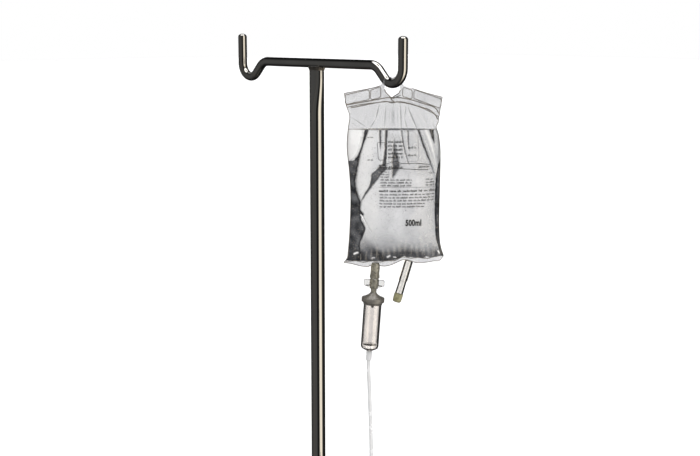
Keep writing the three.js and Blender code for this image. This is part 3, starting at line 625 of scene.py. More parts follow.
# Thin creases with painted shade along them: (x0, z0, x1, z1, width, dent, darkness of the painted shade).
CREASES = [
    (-35, -161, -30.5, -172, 0.7, 0.9, 0.75), (-30.5, -172, -23, -184, 0.5, 0.7, 0.35),
    (-23, -184, -17, -202, 0.4, 0.5, 0.25), (19, -28, 30, -54, 0.9, 1.7, 0.7),
    (24, -203, 18, -213, 0.7, 0.9, 0.75), (32, -205, 28, -213, 0.8, 0.9, 0.75),
    (48, -197, 42, -212, 0.8, 1.0, 0.7), (38, -204, 34, -212, 0.7, 0.8, 0.6),
    (-49, -41, -30, -53.5, 0.6, 1.0, 0.6), (-51, -44, -41, -54, 0.5, 0.8, 0.5),
    (52, -56, 49.5, -47, 0.6, 0.8, 0.5), (55, -60, 51, -50, 0.6, 0.8, 0.5),
    (-40, -203, -52, -212, 1.0, 0.8, 0.5), (-34, -196, -46, -205, 0.9, 0.6, 0.5),
]
# Soft pleats with painted shade along them, that spread from the header over the dry part of the film, in the
# same form.
PLEATS = [
    (-15.5, -26, -20, -43, 0.9, 1.0, 0.7), (-20, -43, -27, -54, 0.9, 0.9, 0.6),
    (-17, -26, -30, -54, 1.2, 0.5, 0.3), (-7.5, -26, -9.5, -55, 1.6, 0.7, 0.5),
    (1, -25, 0, -54, 2.2, 0.6, 0.45), (2, -25, 2.5, -54, 0.6, 0.4, 0.6),
    (10, -24, 11, -55, 1.0, 0.8, 0.65), (17, -26, 15, -42, 0.9, 0.8, 0.6),
    (15, -42, 18.5, -55, 0.9, 0.8, 0.6), (-44, -33, -38, -52, 2.4, 0.9, 0.3),
    (35, -33, 45, -55, 2.2, 0.9, 0.35), (-28, -26, -36, -54, 0.7, 0.6, 0.4),
    (-3, -25, -4.5, -54, 1.2, 0.4, 0.35), (6, -25, 6.5, -54, 1.0, 0.4, 0.4),
    (24, -28, 38, -54, 1.2, 0.5, 0.3),
]
# Short painted glints of light on crinkles: (x0, z0, x1, z1, width).
GLINTS = [
    (-46, -210, -41.5, -208.5, 0.8), (-4.5, -213.5, -2, -212, 0.8), (3, -213.5, 5.5, -214.5, 0.5),
    (14, -214.5, 17, -213.5, 0.45), (-37.5, -160, -35, -163.5, 0.6), (-35, -164, -32.5, -169, 0.35),
    (43, -213.5, 46, -214.5, 0.4), (58, -206, 59.5, -209, 0.7), (-24, -215.5, -21, -214.5, 0.4),
]


def pouch_top(x):
    """Height at which the pouch's film leaves the header."""
    return -22 - 7 * (x / 56) ** 2 if x < 0 else -22 - 18 * (x / 57) ** 2


def along_segment(x, z, x0, z0, x1, z1):
    """Distance to a segment, and how far along it (0 to 1) the nearest point lies."""
    dx, dz = x1 - x0, z1 - z0
    share = np.clip(((x - x0) * dx + (z - z0) * dz) / (dx * dx + dz * dz), 0, 1)
    return np.hypot(x - x0 - share * dx, z - z0 - share * dz), share


def edge_at(edge, depth):
    """Smooth curve through (depth, x) points, read at many depths."""
    fine = np.linspace(edge[0][0], edge[-1][0], 200)
    return np.interp(depth, fine, [smooth_at(edge, step) for step in fine])


def room_inside(x, z, left, right):
    """How far inside a band each place lies, in mm, negative outside it."""
    depth = -z
    room = np.minimum(x - edge_at(left, depth), edge_at(right, depth) - x)
    return np.minimum(room, np.minimum(depth - left[0][0], left[-1][0] - depth))


def eased_step(value):
    """0 below 0, 1 above 1 and smooth between."""
    value = np.clip(value, 0, 1)
    return value * value * (3 - 2 * value)


def crease_depth(x, z):
    """How far the folds and pleats pull the film in, in mm."""
    pulled = np.zeros_like(x)
    for x0, z0, x1, z1, width, dent, _darkness in CREASES + PLEATS:
        away, _share = along_segment(x, z, x0, z0, x1, z1)
        pulled += dent * np.exp(-((away / (1.5 * width)) ** 2))
    for _shade, _soft, dent, left, right in [*FOLDS.values(), *GLEAMS.values()]:
        pulled += dent * eased_step(0.5 + room_inside(x, z, left, right) / 3.0)
    return pulled


def ripple(x, z, size, seed):
    """Gentle unevenness between about -1 and 1, with bumps of the given size in mm, the same each run."""
    flat = [noise.noise(Vector((a / size, b / size, seed))) for a, b in zip(x.ravel(), z.ravel())]
    return np.array(flat).reshape(x.shape)


def pouch_points(rows, columns, side, inset=0.0, level=None):
    """Grid of points on one face of the pouch, or of the fluid in it when a level is given."""
    shares = [i / (rows - 1) for i in range(rows)]
    xs, zs, ss, ts = (np.zeros((rows, columns)) for _ in range(4))
    for i, row in enumerate(shares):
        t = row
        for j in range(columns):
            s = 2 * j / (columns - 1) - 1
            s = 0.55 * math.sin(math.pi / 2 * s) + 0.45 * s
            s *= 1 - 0.012 * (inset > 0)
            for _ in range(2 if level is not None else 1):
                left, right = smooth_at(POUCH_LEFT, t), smooth_at(POUCH_RIGHT, t)
                x = (left + right) / 2 + (right - left) / 2 * s
                top, seam = pouch_top(x), smooth_at(POUCH_SEAM, x)
                if level is None:
                    z = top + t * (seam - top)
                else:
                    foot = smooth_at(FLUID_FOOT, x) + 0.4
                    z = level + row * (foot - level)
                    t = (z - top) / (seam - top)
            xs[i, j], zs[i, j], ss[i, j], ts[i, j] = x, z, s, t
    feet = smooth_grid(FLUID_FOOT, xs)
    tops = np.array([[pouch_top(x) for x in row] for row in xs])
    filled = np.clip((zs - tops) / (feet - tops), 0, 1)
    swell = np.sin(np.pi * filled**1.15) ** 0.72
    bulge = HALF_DEPTH * swell * (1 - np.clip(np.abs(ss), 0, 1) ** 2.2) ** 0.66
    rim = np.clip((1 - np.abs(ss)) / 0.03, 0, 1)
    lively = np.clip(bulge / 4, 0, 1)
    crinkle = np.clip(1 - np.abs(filled - 1) * 9, 0, 1)
    seeded = 3.0 if side > 0 else 8.0
    bulge -= lively * crease_depth(xs, zs) * (1.0 if side > 0 else 0.35)
    bulge += lively * (0.9 * ripple(xs, zs, 19, seeded) + 0.28 * ripple(xs, zs, 6, seeded + 5))
    bulge += crinkle * lively * 1.1 * np.sin(xs * 0.9 + 2 * ripple(xs, zs, 12, 2.0))
    bulge = np.maximum(bulge * rim, 0) - inset
    depth = np.maximum(bulge, 0.12) if inset else bulge + SHEET / 2
    wave = 1.3 * np.clip(ts - 0.9, 0, 0.1) / 0.1 * np.sin(xs * 0.21) * (filled >= 1)
    ys = -side * depth + wave
    return xs, ys, zs


def closed_grid(front, back):
    """Vertices and faces of a closed body from matching front and back grids."""
    rows, columns = front[0].shape
    verts = [Vector(p) for grid in (front, back) for p in zip(*(part.ravel() for part in grid))]
    offset = rows * columns

    def at(i, j, layer):
        return layer * offset + i * columns + j

    faces = []
    for i in range(rows - 1):
        for j in range(columns - 1):
            faces.append((at(i, j, 0), at(i + 1, j, 0), at(i + 1, j + 1, 0), at(i, j + 1, 0)))
            faces.append((at(i, j, 1), at(i, j + 1, 1), at(i + 1, j + 1, 1), at(i + 1, j, 1)))
        for j, turn in ((0, 1), (columns - 1, -1)):
            faces.append((at(i, j, 0), at(i, j, 1), at(i + 1, j, 1), at(i + 1, j, 0))[::turn])
    for j in range(columns - 1):
        for i, turn in ((0, -1), (rows - 1, 1)):
            faces.append((at(i, j, 0), at(i, j, 1), at(i, j + 1, 1), at(i, j + 1, 0))[::turn])
    return verts, faces


def film_shade(x, z, edge):
    """Painted shade, painted highlight, wetness and painted lightness of each place on the printed face. Edge
    is 0 at its sides.
    """
    wander_x = x + 0.6 * ripple(x, z, 4, 1.0)
    wander_z = z + 0.5 * ripple(x, z, 5, 4.0)
    mottle = ripple(x, z, 9, 7.0)
    below = np.clip((FLUID_LEVEL + 0.4 - z) / 0.8, 0, 1)
    above_foot = np.clip((z - smooth_grid(FLUID_FOOT, x) + 0.6) / 0.8, 0, 1)

    dark, gleam = np.zeros_like(x), np.zeros_like(x)
    # Painted shade of the folds, a little lighter and mottled inside them.
    for darkness, soft, _dent, left, right in FOLDS.values():
        room = room_inside(wander_x, wander_z, left, right)
        inner = eased_step((room - 0.8) / 3)
        shade = darkness * (1 - inner * (0.08 + 0.14 * mottle))
        dark = np.maximum(dark, shade * eased_step(0.5 + room / (2 * soft)))
    # Painted highlights of the gleaming bands.
    for brightness, soft, _dent, left, right in GLEAMS.values():
        room = room_inside(wander_x, wander_z, left, right)
        gleam = np.maximum(gleam, brightness * eased_step(0.5 + room / (2 * soft)))

    # Painted shade that deepens, in streaks, towards the bottom of the fluid.
    foot_start = np.interp(x, [-45, -20, 20, 55], [142, 156, 166, 174])
    foot_share = np.clip((-z - foot_start) / (208 - foot_start), 0, 1)
    streaks = 1 + 0.18 * ripple(0.8 * x + 0.7 * z, 0.25 * z - 0.2 * x, 11, 15.0)
    foot_dark = np.interp(x, [-30, 20, 55], [0.99, 0.92, 0.82])
    dark = np.maximum(dark, np.clip(foot_dark * foot_share**1.9 * streaks, 0, 0.96))
    dark *= below * above_foot

    gleam *= below * above_foot * (1 - dark)
    # Painted shade along the creases and pleats.
    for x0, z0, x1, z1, width, _dent, darkness in CREASES + PLEATS:
        away, share = along_segment(x, z, x0, z0, x1, z1)
        taper = 0.55 + 0.45 * np.sin(np.pi * np.clip(share, 0.08, 0.92))
        dark = np.maximum(dark, darkness * taper * np.exp(-((away / width) ** 2)))
    # Painted glints of light, which clear the painted shade under them.
    for x0, z0, x1, z1, width in GLINTS:
        away, _share = along_segment(wander_x, wander_z, x0, z0, x1, z1)
        shine = np.exp(-((away / width) ** 2))
        gleam = np.maximum(gleam, shine)
        dark *= 1 - shine
    # A thin line of painted shade along the fluid level.
    dark = np.maximum(dark, 0.85 * np.exp(-(((z - FLUID_LEVEL) / 0.6) ** 2)) * (edge > 0.02))

    # Painted lightness: lighter on the left, darker to the right and in an upper patch right of the middle,
    # with random unevenness.
    painted_lightness = np.interp(x, [-45, -20, 0, 20, 50], [1.0, 0.98, 0.90, 0.82, 0.50]) + 0.2 * ripple(x, z, 14, 11.0)
    upper = eased_step((-z - 58) / 6) * eased_step((112 + z) / 14) * eased_step((x + 8) / 8)
    painted_lightness -= 0.2 * upper
    return dark, gleam, below * above_foot, np.clip(painted_lightness, 0, 1)


ROWS, COLUMNS = 250, 190
front = pouch_points(ROWS, COLUMNS, 1)
back = pouch_points(ROWS, COLUMNS, -1)
pouch_finish = film("bag_film", (0.74, 0.74, 0.75))


def shade_pouch(finish):
    """Hazy film above the fluid, and below it denser film with painted shade in the folds, painted lightness,
    and painted highlights where it gleams.
    """
    sockets = finish.shader.inputs

    def layer(name):
        return finish.node("Attribute", attribute_name=name).outputs["Fac"]

    def mixed(amount, first, second, blend="MIX"):
        mix = finish.node("MixRGB", blend_type=blend)
        for value, socket in ((amount, "Fac"), (first, "Color1"), (second, "Color2")):
            if isinstance(value, (float, tuple)):
                mix.inputs[socket].default_value = value
            else:
                finish.link(value, mix.inputs[socket])
        return mix.outputs["Color"]

    def math_of(operation, *values):
        made = finish.node("Math", operation=operation)
        for value, socket in zip(values, made.inputs):
            if isinstance(value, float):
                socket.default_value = value
            else:
                finish.link(value, socket)
        return made.outputs["Value"]

    cloud = finish.texture(38, (1, 1, 0.5), detail=6)
    dry = finish.ramp(cloud, (0.3, (0.11, 0.11, 0.113)), (0.7, (0.21, 0.21, 0.213)))
    # Below the fluid level the film's grey follows the painted lightness.
    wet = finish.ramp(layer("painted_lightness"), (0.0, (0.16, 0.16, 0.162)), (1.0, (0.60, 0.60, 0.60)))
    base = mixed(layer("wet"), dry, wet)
    speckle = finish.ramp(finish.texture(800, detail=3), (0.32, (0.25, 0.24, 0.23)), (0.39, (1, 1, 1)))
    base = mixed(0.85, base, speckle, "MULTIPLY")
    # Painted shade colour of the folds: near-black slate with brownish specks.
    painted_shade_colour = finish.ramp(
        finish.texture(620, detail=5), (0.32, (0.003, 0.004, 0.006)), (0.5, (0.011, 0.013, 0.018)),
        (0.62, (0.024, 0.025, 0.028)), (0.68, (0.16, 0.125, 0.08)), (0.74, (0.40, 0.36, 0.29)),
    )
    # Makes the painted shade darkest where the darkness layer is nearly full.
    depth = finish.ramp(layer("dark"), (0.8, (1.25, 1.25, 1.3)), (0.97, (0.7, 0.7, 0.7)))
    base = mixed(layer("dark"), base, mixed(1.0, painted_shade_colour, depth, "MULTIPLY"))
    # Painted highlight colour where the film gleams.
    base = mixed(layer("gleam"), base, (0.68, 0.67, 0.65, 1.0))
    finish.link(base, sockets["Base Color"])
    clearness = math_of("MULTIPLY_ADD", layer("wet"), 0.16, 0.32)
    # The film is made opaque enough to show the painted shade and highlights.
    held = math_of("MULTIPLY", math_of("MAXIMUM", layer("dark"), layer("gleam")), 1.22)
    finish.link(math_of("MINIMUM", math_of("MAXIMUM", clearness, held), 1.0), sockets["Alpha"])


shade_pouch(pouch_finish)
verts, faces = closed_grid(front, back)
verts = [BAG @ v for v in verts]
pouch = piece("bag_film", verts, faces, pouch_finish.material, "bag", "bag_pouch", "bag_film", sharp=70)
# Painted shade, painted highlight, wetness and painted lightness go onto the printed face as mesh layers; the
# back face gets only wetness and lightness.
side_share = np.abs(np.linspace(-1, 1, COLUMNS))[None, :] * np.ones((ROWS, 1))
shades = film_shade(front[0], front[2], 1 - side_share)
for name, values in zip(("dark", "gleam", "wet", "painted_lightness"), shades):
    behind = values if name in ("wet", "painted_lightness") else np.zeros_like(values)
    layer = pouch.data.attributes.new(name, "FLOAT", "POINT")
    layer.data.foreach_set("value", np.concatenate([values.ravel(), behind.ravel()]).astype(np.float32))

fluid_front = pouch_points(150, 110, 1, inset=0.5, level=FLUID_LEVEL)
fluid_back = pouch_points(150, 110, -1, inset=0.5, level=FLUID_LEVEL)
verts, faces = closed_grid(fluid_front, fluid_back)
piece("bag_fluid", [BAG @ v for v in verts], faces, LIQUID, "bag", slot="bag_film", sharp=60)

# ------------------------------------------------------------------ bag: header, weld lines and print

HEADER_TOP = [
    (-58, -12), (-45, -9.6), (-30, -6.8), (-20, -4.6), (-14.5, -2.8), (-11.4, 0.6), (-10.6, 3.6), (-8.4, 6.6),
    (-4, 8), (4, 8), (8.4, 6.6), (10.6, 3.6), (11.4, 0.6), (14.5, -3.4), (24, -6), (40, -11.2), (61, -16.6),
]
HANG_HOLE = [
    (-9.2, 3), (-7.6, 5.6), (-4.6, 6.9), (4.6, 6.9), (7.6, 5.6), (9.2, 3), (9.8, -8), (8.4, -11.5), (5, -14),
    (2, -15.6), (-0.6, -18.4), (-2.2, -16.2), (-5.4, -13.2), (-7.8, -10.6), (-9.2, -7),
]


def header_outline():
    """The header's edge: along its top, down its right side, back along the pouch's top."""
    points = list(HEADER_TOP) + [(60, -22), (58.6, -30), (57.6, -38)]
    steps = 44
    for k in range(steps + 1):
        x = 57 - 112 * k / steps
        points.append((x, pouch_top(x) - 0.4))
    return points + [(-56.6, -22)]


def dense(loop, step):
    """A closed outline with points about a step apart."""
    result = []
    for (x0, z0), (x1, z1) in zip(loop, loop[1:] + loop[:1]):
        count = max(1, round(math.hypot(x1 - x0, z1 - z0) / step))
        result += [(x0 + (x1 - x0) * k / count, z0 + (z1 - z0) * k / count) for k in range(count)]
    return result


def inside(loop, x, z):
    """Whether a place lies inside a closed outline."""
    hit = False
    for (x0, z0), (x1, z1) in zip(loop, loop[1:] + loop[:1]):
        if (z0 > z) != (z1 > z) and x < x0 + (z - z0) * (x1 - x0) / (z1 - z0):
            hit = not hit
    return hit


def header_wave(x, z):
    """How far the welded header stands off its flat plane, in mm."""
    lift = 1.6 * noise.noise(Vector((x / 26, z / 26, 4.0))) + 0.35 * noise.noise(Vector((x / 6, z / 6, 9.0)))
    near_hook = max(0.0, 1 - math.hypot(x, z) / 22)
    return lift * (1 - near_hook)


def header_sheet(outline, hole, step, thickness):
    """Vertices and faces of the thin, gently waved header, from its outline and its hanging eye."""
    loops = [dense(outline, step), dense(hole, step)]
    points, edges = [], []
    for loop in loops:
        first = len(points)
        points += [Vector(p) for p in loop]
        edges += [(first + k, first + (k + 1) % len(loop)) for k in range(len(loop))]
    border = list(points)
    xs, zs = zip(*outline)
    x = min(xs)
    while x < max(xs):
        z = min(zs)
        while z < max(zs):
            spot = Vector((x + 0.3 * step * noise.noise(Vector((x, z, 0))), z))
            if inside(outline, *spot) and not inside(hole, *spot):
                if min((spot - p).length for p in border) > 0.6 * step:
                    points.append(spot)
            z += step
        x += step
    flat, _edges, triangles, *_ = delaunay_2d_cdt(points, edges, [], 0, 1e-5)
    kept = []
    for a, b, c in triangles:
        middle = (flat[a] + flat[b] + flat[c]) / 3
        if inside(loops[0], *middle) and not inside(loops[1], *middle):
            kept.append((a, b, c))
    count = len(flat)
    verts = []
    for side in (-1, 1):
        for p in flat:
            verts.append(BAG @ Vector((p.x, header_wave(p.x, p.y) + side * thickness / 2, p.y)))
    faces = [(a, b, c) for a, b, c in kept] + [(c + count, b + count, a + count) for a, b, c in kept]
    rim = {}
    for a, b, c in kept:
        for pair in ((a, b), (b, c), (c, a)):
            if pair[::-1] in rim:
                del rim[pair[::-1]]
            else:
                rim[pair] = True
    faces += [(b, a, a + count, b + count) for a, b in rim]
    return verts, faces


verts, faces = header_sheet(header_outline(), HANG_HOLE, step=2.2, thickness=0.7)
piece("bag_header_film", verts, faces, HEADER_FILM, "bag", "bag_header", "header_film", sharp=60)


def line_on(points, depth, radius, sides=8):
    """Thin raised line through points (x, z) of the bag, lying on the surface that depth(x, z) gives."""
    path = []
    for (x0, z0), (x1, z1) in zip(points, points[1:]):
        count = max(2, round(math.hypot(x1 - x0, z1 - z0) / 1.6))
        for k in range(count):
            t = k / count
            path.append((x0 + (x1 - x0) * t, z0 + (z1 - z0) * t))
    path.append(points[-1])
    spots = [BAG @ Vector((x, depth(x, z), z)) for x, z in path]
    return sweep(spots, radius * MM, sides)


UPPER_WELD = [
    (-57, -26.4), (-40, -23.4), (-22, -20.2), (-6, -17.4), (8, -17.2), (22, -19.5), (40, -25), (51, -28.6),
    (56, -33.5), (57.4, -38),
]
LOWER_WELD = [
    (-50, -29.6), (-30, -25.6), (-14, -22.6), (-6, -22), (0, -23.6), (8, -22.2), (20, -24), (34, -28.4),
    (46, -32.2), (53, -38.5), (56.4, -44.5),
]
LEFT_RIM, RIGHT_RIM = HEADER_TOP[:5], HEADER_TOP[13:]
RIM_TO_POCKET = 1.6


def header_front(x, z):
    """Depth at which lines lie on the header's printed face."""
    return header_wave(x, z) - 0.45


def pocket(x0, x1, above_weld, corner):
    """Closed outline of a corner pocket between the header's rim and the upper weld line."""
    rim = LEFT_RIM if x0 < 0 else RIGHT_RIM
    top = [smooth_at(rim, x) - RIM_TO_POCKET - corner for x in (x1, x0)]
    bottom = [smooth_at(UPPER_WELD, min(x, 54)) + above_weld + corner for x in (x0, x1)]
    sides = (x1 - corner, x0 + corner, x0 + corner, x1 - corner)
    points = rounded_corners(list(zip(sides, top + bottom)), corner, 5)
    return points + points[:1]


def weld_line(table, x0, x1):
    return [(float(x), smooth_at(table, float(x))) for x in np.linspace(x0, x1, 40)]


outline = header_outline()
WELD_LINES = [  # line, radius
    (pocket(-57, -27.6, 1.2, 2.6), 0.44), (pocket(-26, -13.8, 1.2, 2.2), 0.44),
    (pocket(12.8, 24.4, 1.4, 2.4), 0.44), (pocket(26.4, 59.6, 1.4, 2.8), 0.44),
    (weld_line(UPPER_WELD, -56.5, 57), 0.62), (weld_line(LOWER_WELD, -50, 56), 0.62),
    (outline[14:] + outline[:5], 0.46), (HANG_HOLE[6:], 0.56),
    ([(-3.8, -14.8), (-0.6, -19.8), (3, -22.8)], 0.56), ([(0.4, -19), (6, -16), (10.4, -14.6)], 0.44),
]
parts = [line_on(run, header_front, radius) for run, radius in WELD_LINES]
piece("weld_lines", *joined(parts), CREASE_LINE, "bag", slot="header_film")

front_x, front_y, front_z = front


def on_front(x, z, proud=0.18):
    """Depth of the pouch's printed face at a place, read from its grid."""
    i = int(np.abs(front_z[:, COLUMNS // 2] - z).argmin())
    for _ in range(3):
        j = int(np.abs(front_x[i] - x).argmin())
        i = int(np.abs(front_z[:, j] - z).argmin())
    i0, j0 = min(max(i, 1), ROWS - 2), min(max(j, 1), COLUMNS - 2)
    return float(front_y[i0 - 1:i0 + 2, j0 - 1:j0 + 2].mean()) - proud


side_lines = [[(float(front_x[i, j]), float(front_z[i, j])) for i in range(0, ROWS, 4)] for j in (0, -1)]
seam_line = [(float(front_x[-1, j]), float(front_z[-1, j]) + 0.3) for j in range(0, COLUMNS, 3)]
foot_line = [(x, smooth_at(FLUID_FOOT, x) - 0.5 - 0.8 * math.sin(x * 0.32)) for x in range(-57, 60, 3)]
parts = [line_on(run, on_front, 0.46, 6) for run in (*side_lines, seam_line, foot_line)]
piece("film_edges", *joined(parts), CREASE_LINE, "bag", slot="bag_film")


def printed_mark(x0, x1, low, high):
    """Flat printed mark that lies on the film."""
    rings = []
    steps = max(1, round((x1 - x0) / 2))
    for k in range(steps + 1):
        x = x0 + (x1 - x0) * k / steps
        y = on_front(x, (low + high) / 2, 0.3 + 0.2 * (high - low))
        section = ((0, low), (0, high), (0.12, high), (0.12, low))
        rings.append([BAG @ Vector((x, y + dy, z)) for dy, z in section])
    return loft(rings)


def printed_row(x0, x1, z, height, seed, drop):
    """One row of small upright marks grouped like words, with no lettering in them."""
    marks, x, k = [], x0, 0
    pitch = 0.62 * height
    while x < x1:
        chance = noise.noise(Vector((x * 1.37, z * 0.71, seed)))
        gap = k > 2 and chance > 0.12
        if not gap:
            tall = height * (1.0 if chance < -0.2 else 0.7)
            base = z - height / 2 + drop * math.sin((x - x0) * 0.12)
            marks.append(printed_mark(x, min(x + 0.58 * pitch, x1), base, base + tall))
            if abs(chance) < 0.08:
                marks.append(printed_mark(x, min(x + pitch, x1), base, base + 0.3 * height))
        k = 0 if gap else k + 1
        x += pitch
    return marks


# x from, x to, depth of the first row, number of rows, distance between rows, size of the marks
PRINT_BLOCKS = [
    (-5, 13, 69.5, 5, 4.6, 2.6), (19, 29, 76.5, 2, 9, 2.6), (-15, 13, 100.5, 1, 0, 3.0),
    (32, 45, 99.5, 1, 0, 2.8), (-14, -4, 105.5, 3, 3.1, 1.6), (45, 51, 107.5, 1, 0, 1.6),
    (-14, 23.5, 115, 3, 3.5, 2.1), (41, 51.5, 115, 3, 3.5, 1.9), (-16, 52, 128.5, 1, 0, 2.6),
    (-15, 52, 133, 3, 3.75, 1.9), (-15, 40, 144.3, 2, 3.6, 1.9), (-30, -23, 64.5, 1, 0, 1.4),
    (-30, -23, 91.5, 1, 0, 1.6),
]
strokes = []
for seed, (x0, x1, depth, rows, pitch, size) in enumerate(PRINT_BLOCKS):
    drop = 0.35 if size > 2.9 else 0.0
    for row in range(rows):
        strokes += printed_row(x0, x1, -depth - row * pitch, size, seed + 0.5, drop)
piece("printed_rows", *joined(strokes), PRINT, "bag", slot="bag_film")

RULES = [  # radius, points of the printed line
    (0.34, [(-16.5, -98), (-9, -96.5), (-1, -94), (5, -93), (11, -95.5), (31, -95.5), (46, -97.5)]),
    (0.34, [(-16.5, -103.5), (-3, -102.5), (7, -101), (15, -102), (31, -103), (44, -103.5)]),
    (0.16, [(-16, -124.5), (10, -124), (52, -125)]),
    (0.3, [(-18, -71), (-16.5, -70.5), (-8, -70.5), (-6.5, -71), (-7, -90), (-9, -91.5), (-15.5, -91.5),
           (-17, -89.5), (-18, -71)]),
    (0.12, [(14, -58), (15.5, -57), (25, -57), (31, -63), (32.5, -87), (30.5, -93), (15.5, -93)]),
]
parts = [line_on(run, on_front, radius, 6) for radius, run in RULES]
piece("printed_rules", *joined(parts), PRINT, "bag", slot="bag_film")

MARK_X, MARK_Z, MARK_LENGTH, MARK_HEIGHT = 16.5, -172, 19.6, 7.6
volume_mark = bpy.data.curves.new("volume_mark", "FONT")
volume_mark.body = "500ml"
volume_mark.size = 9.6
volume_mark.extrude = 0.08
volume_mark.offset = 0.42
volume_mark.space_character = 1.08
mark = bpy.data.objects.new("mark_outline", volume_mark)
scene.collection.objects.link(mark)
bpy.context.view_layer.update()
flat_mark = mark.evaluated_get(bpy.context.evaluated_depsgraph_get()).to_mesh()
fit = MARK_LENGTH / max(v.co.x for v in flat_mark.vertices)
fit_up = MARK_HEIGHT / max(v.co.y for v in flat_mark.vertices)
mark_verts = []
for v in flat_mark.vertices:
    x, z = MARK_X + v.co.x * fit, MARK_Z + v.co.y * fit_up
    mark_verts.append(BAG @ Vector((x, on_front(x, MARK_Z + MARK_HEIGHT / 2, 0.9 + v.co.z), z)))
mark_faces = [tuple(p.vertices) for p in flat_mark.polygons]
bpy.data.objects.remove(mark)
piece("volume_mark", mark_verts, mark_faces, PRINT, "bag", slot="bag_film")

# ------------------------------------------------------------------ ports, spike and drip chamber

piece("port_tube", *turned([
    (0, 3), (4.6, 3), (5.4, 0), (5.7, -3), (5.5, -8), (5.7, -12), (6.1, -13), (6.1, -16), (3.9, -16),
    (3.9, -8), (0, -8),
], LINE, 48, 0.5), PORT, "bag", "infusion_port", "port_plastic")


def rounded_slab(x0, x1, z0, z1, half, corner, matrix, bulge=0.6):
    """Rounded flat block in the matrix's XZ plane with softened faces."""
    left, right, low, high = x0 + corner, x1 - corner, z0 + corner, z1 - corner
    outline = rounded_corners([(right, high), (left, high), (left, low), (right, low)], corner, 6)
    mx, mz = (x0 + x1) / 2, (z0 + z1) / 2
    rings = []
    for y, shrink in ((-half, bulge), (-half + bulge * 0.4, bulge * 0.25), (-half + bulge, 0),
                      (half - bulge, 0), (half - bulge * 0.4, bulge * 0.25), (half, bulge)):
        fx, fz = 1 - 2 * shrink / (x1 - x0), 1 - 2 * shrink / (z1 - z0)
        rings.append([matrix @ Vector((mx + (x - mx) * fx, y, mz + (z - mz) * fz)) for x, z in outline])
    return loft(rings)


piece("spike_body", *turned([
    (0, -9.5), (3.2, -11), (3.5, -16.6), (5.3, -17.2), (5.8, -19), (5.4, -22), (5.8, -25.6), (5, -28.4),
    (3.8, -30), (3.5, -33), (3.9, -37), (0, -37),
], LINE, 48, 0.5), SPIKE, "bag", "spike", "spike_plastic")
WING_ROOT, WING_TIP, WING_LOW, WING_HIGH = 5.2, 12.7, -26.4, -18.2
WING_WEB = [(4.6, -25.6), (10.5, -26.2), (5, -29.2), (3.8, -29.6)]
wings = []
for sign in (1, -1):
    x0, x1 = sorted((sign * WING_ROOT, sign * WING_TIP))
    web = [[LINE @ Vector((sign * x, y, z)) for x, z in WING_WEB][::sign] for y in (-0.9, 0.9)]
    wings += [rounded_slab(x0, x1, WING_LOW, WING_HIGH, 1.5, 1.6, LINE), loft(web)]
piece("spike_wings", *joined(wings), CLEAR_PORT, "bag", slot="spike_plastic")

CAP_TOP = -37.3
piece("chamber_lid", *turned([
    (0, CAP_TOP + 3.4), (3.6, CAP_TOP + 3.2), (4.6, CAP_TOP + 1.6), (7, CAP_TOP - 0.4), (10.4, CAP_TOP - 2.4),
    (12.4, CAP_TOP - 3.6), (13.8, CAP_TOP - 3.6), (14.3, CAP_TOP - 4.2), (14.3, CAP_TOP - 8.8),
    (12.6, CAP_TOP - 9.6), (11.9, CAP_TOP - 10.4), (11.9, CAP_TOP - 12), (11.3, CAP_TOP - 12),
    (11.3, CAP_TOP - 6.3), (0, CAP_TOP - 6.3),
], LINE, 72, 0.5), CAP, "bag", "chamber_cap", "spike_plastic")
NOZZLE = CAP_TOP - 6.3
piece("drip_former", *turned([
    (0, NOZZLE), (9.2, NOZZLE), (8.6, NOZZLE - 4.4), (7.2, NOZZLE - 6.2), (5, NOZZLE - 7.2),
    (2, NOZZLE - 7.9), (1.2, NOZZLE - 11), (0, NOZZLE - 11),
], LINE, 40, 0.6), CAP, "bag", "drip_nozzle", "clear_plastic")
CONE, FOOT = -103.5, -109.5
piece("chamber_wall", *turned([
    (9.6, NOZZLE), (11.2, NOZZLE), (11.2, CONE), (10.3, CONE - 2.6), (3.6, FOOT), (1.4, FOOT),
    (1.4, FOOT + 1.3), (3.2, FOOT + 1.5), (8.9, CONE - 1.4), (9.4, CONE + 1), (8.8, CONE + 6),
    (8.8, NOZZLE - 6),
], LINE, 80, 0.7), CHAMBER, "bag", "drip_chamber", "clear_plastic")
piece("chamber_screen", *turned([
    (0, CONE + 2.2), (8.3, CONE + 2.2), (8.3, CONE + 2.9), (0, CONE + 2.9),
], LINE, 40, 0.2), CLEAR_PORT, "bag", "chamber_filter", "nylon")
piece("outlet_tube", *turned([
    (2.6, -122), (3.3, -122), (3.6, -121), (3.5, FOOT - 0.4), (2.6, FOOT - 0.4),
], LINE, 40, 0.3), TUBING, "bag", "outlet_sleeve", "clear_plastic")
piece("side_port_tube", *turned([
    (3.1, 2), (5.2, 2), (5.3, -1.5), (5.5, -23), (5.5, -24.4), (4.8, -25.2), (5.1, -42), (3.2, -42),
    (3.1, -25.6), (3.1, -23.5),
], SIDE_PORT, 48, 0.4), CLEAR_PORT, "bag", "injection_port", "port_plastic")
piece("side_port_plug", *turned([
    (0, -41), (5.3, -41.4), (5.6, -43), (5.4, -51), (4.4, -52.5), (0, -52.5),
], SIDE_PORT, 48, 0.5), PLUG, "bag", "injection_plug", "port_plug")

# ------------------------------------------------------------------ outer tube, collar and clamp knob

STAND = Matrix.Scale(MM, 4)
HUB_BOTTOM, HUB_TOP, HUB_RADIUS = 84, 140, 56
COLLAR_BOTTOM, COLLAR_TOP, CLAMP_HEIGHT = 944, 1070, 1048
TUBE_LOW, TUBE_HIGH = (corner.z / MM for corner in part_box("outer_tube"))
CLAMP = STAND @ Matrix.Translation((0, 0, CLAMP_HEIGHT)) @ Matrix.Rotation(math.pi / 2, 4, "X")

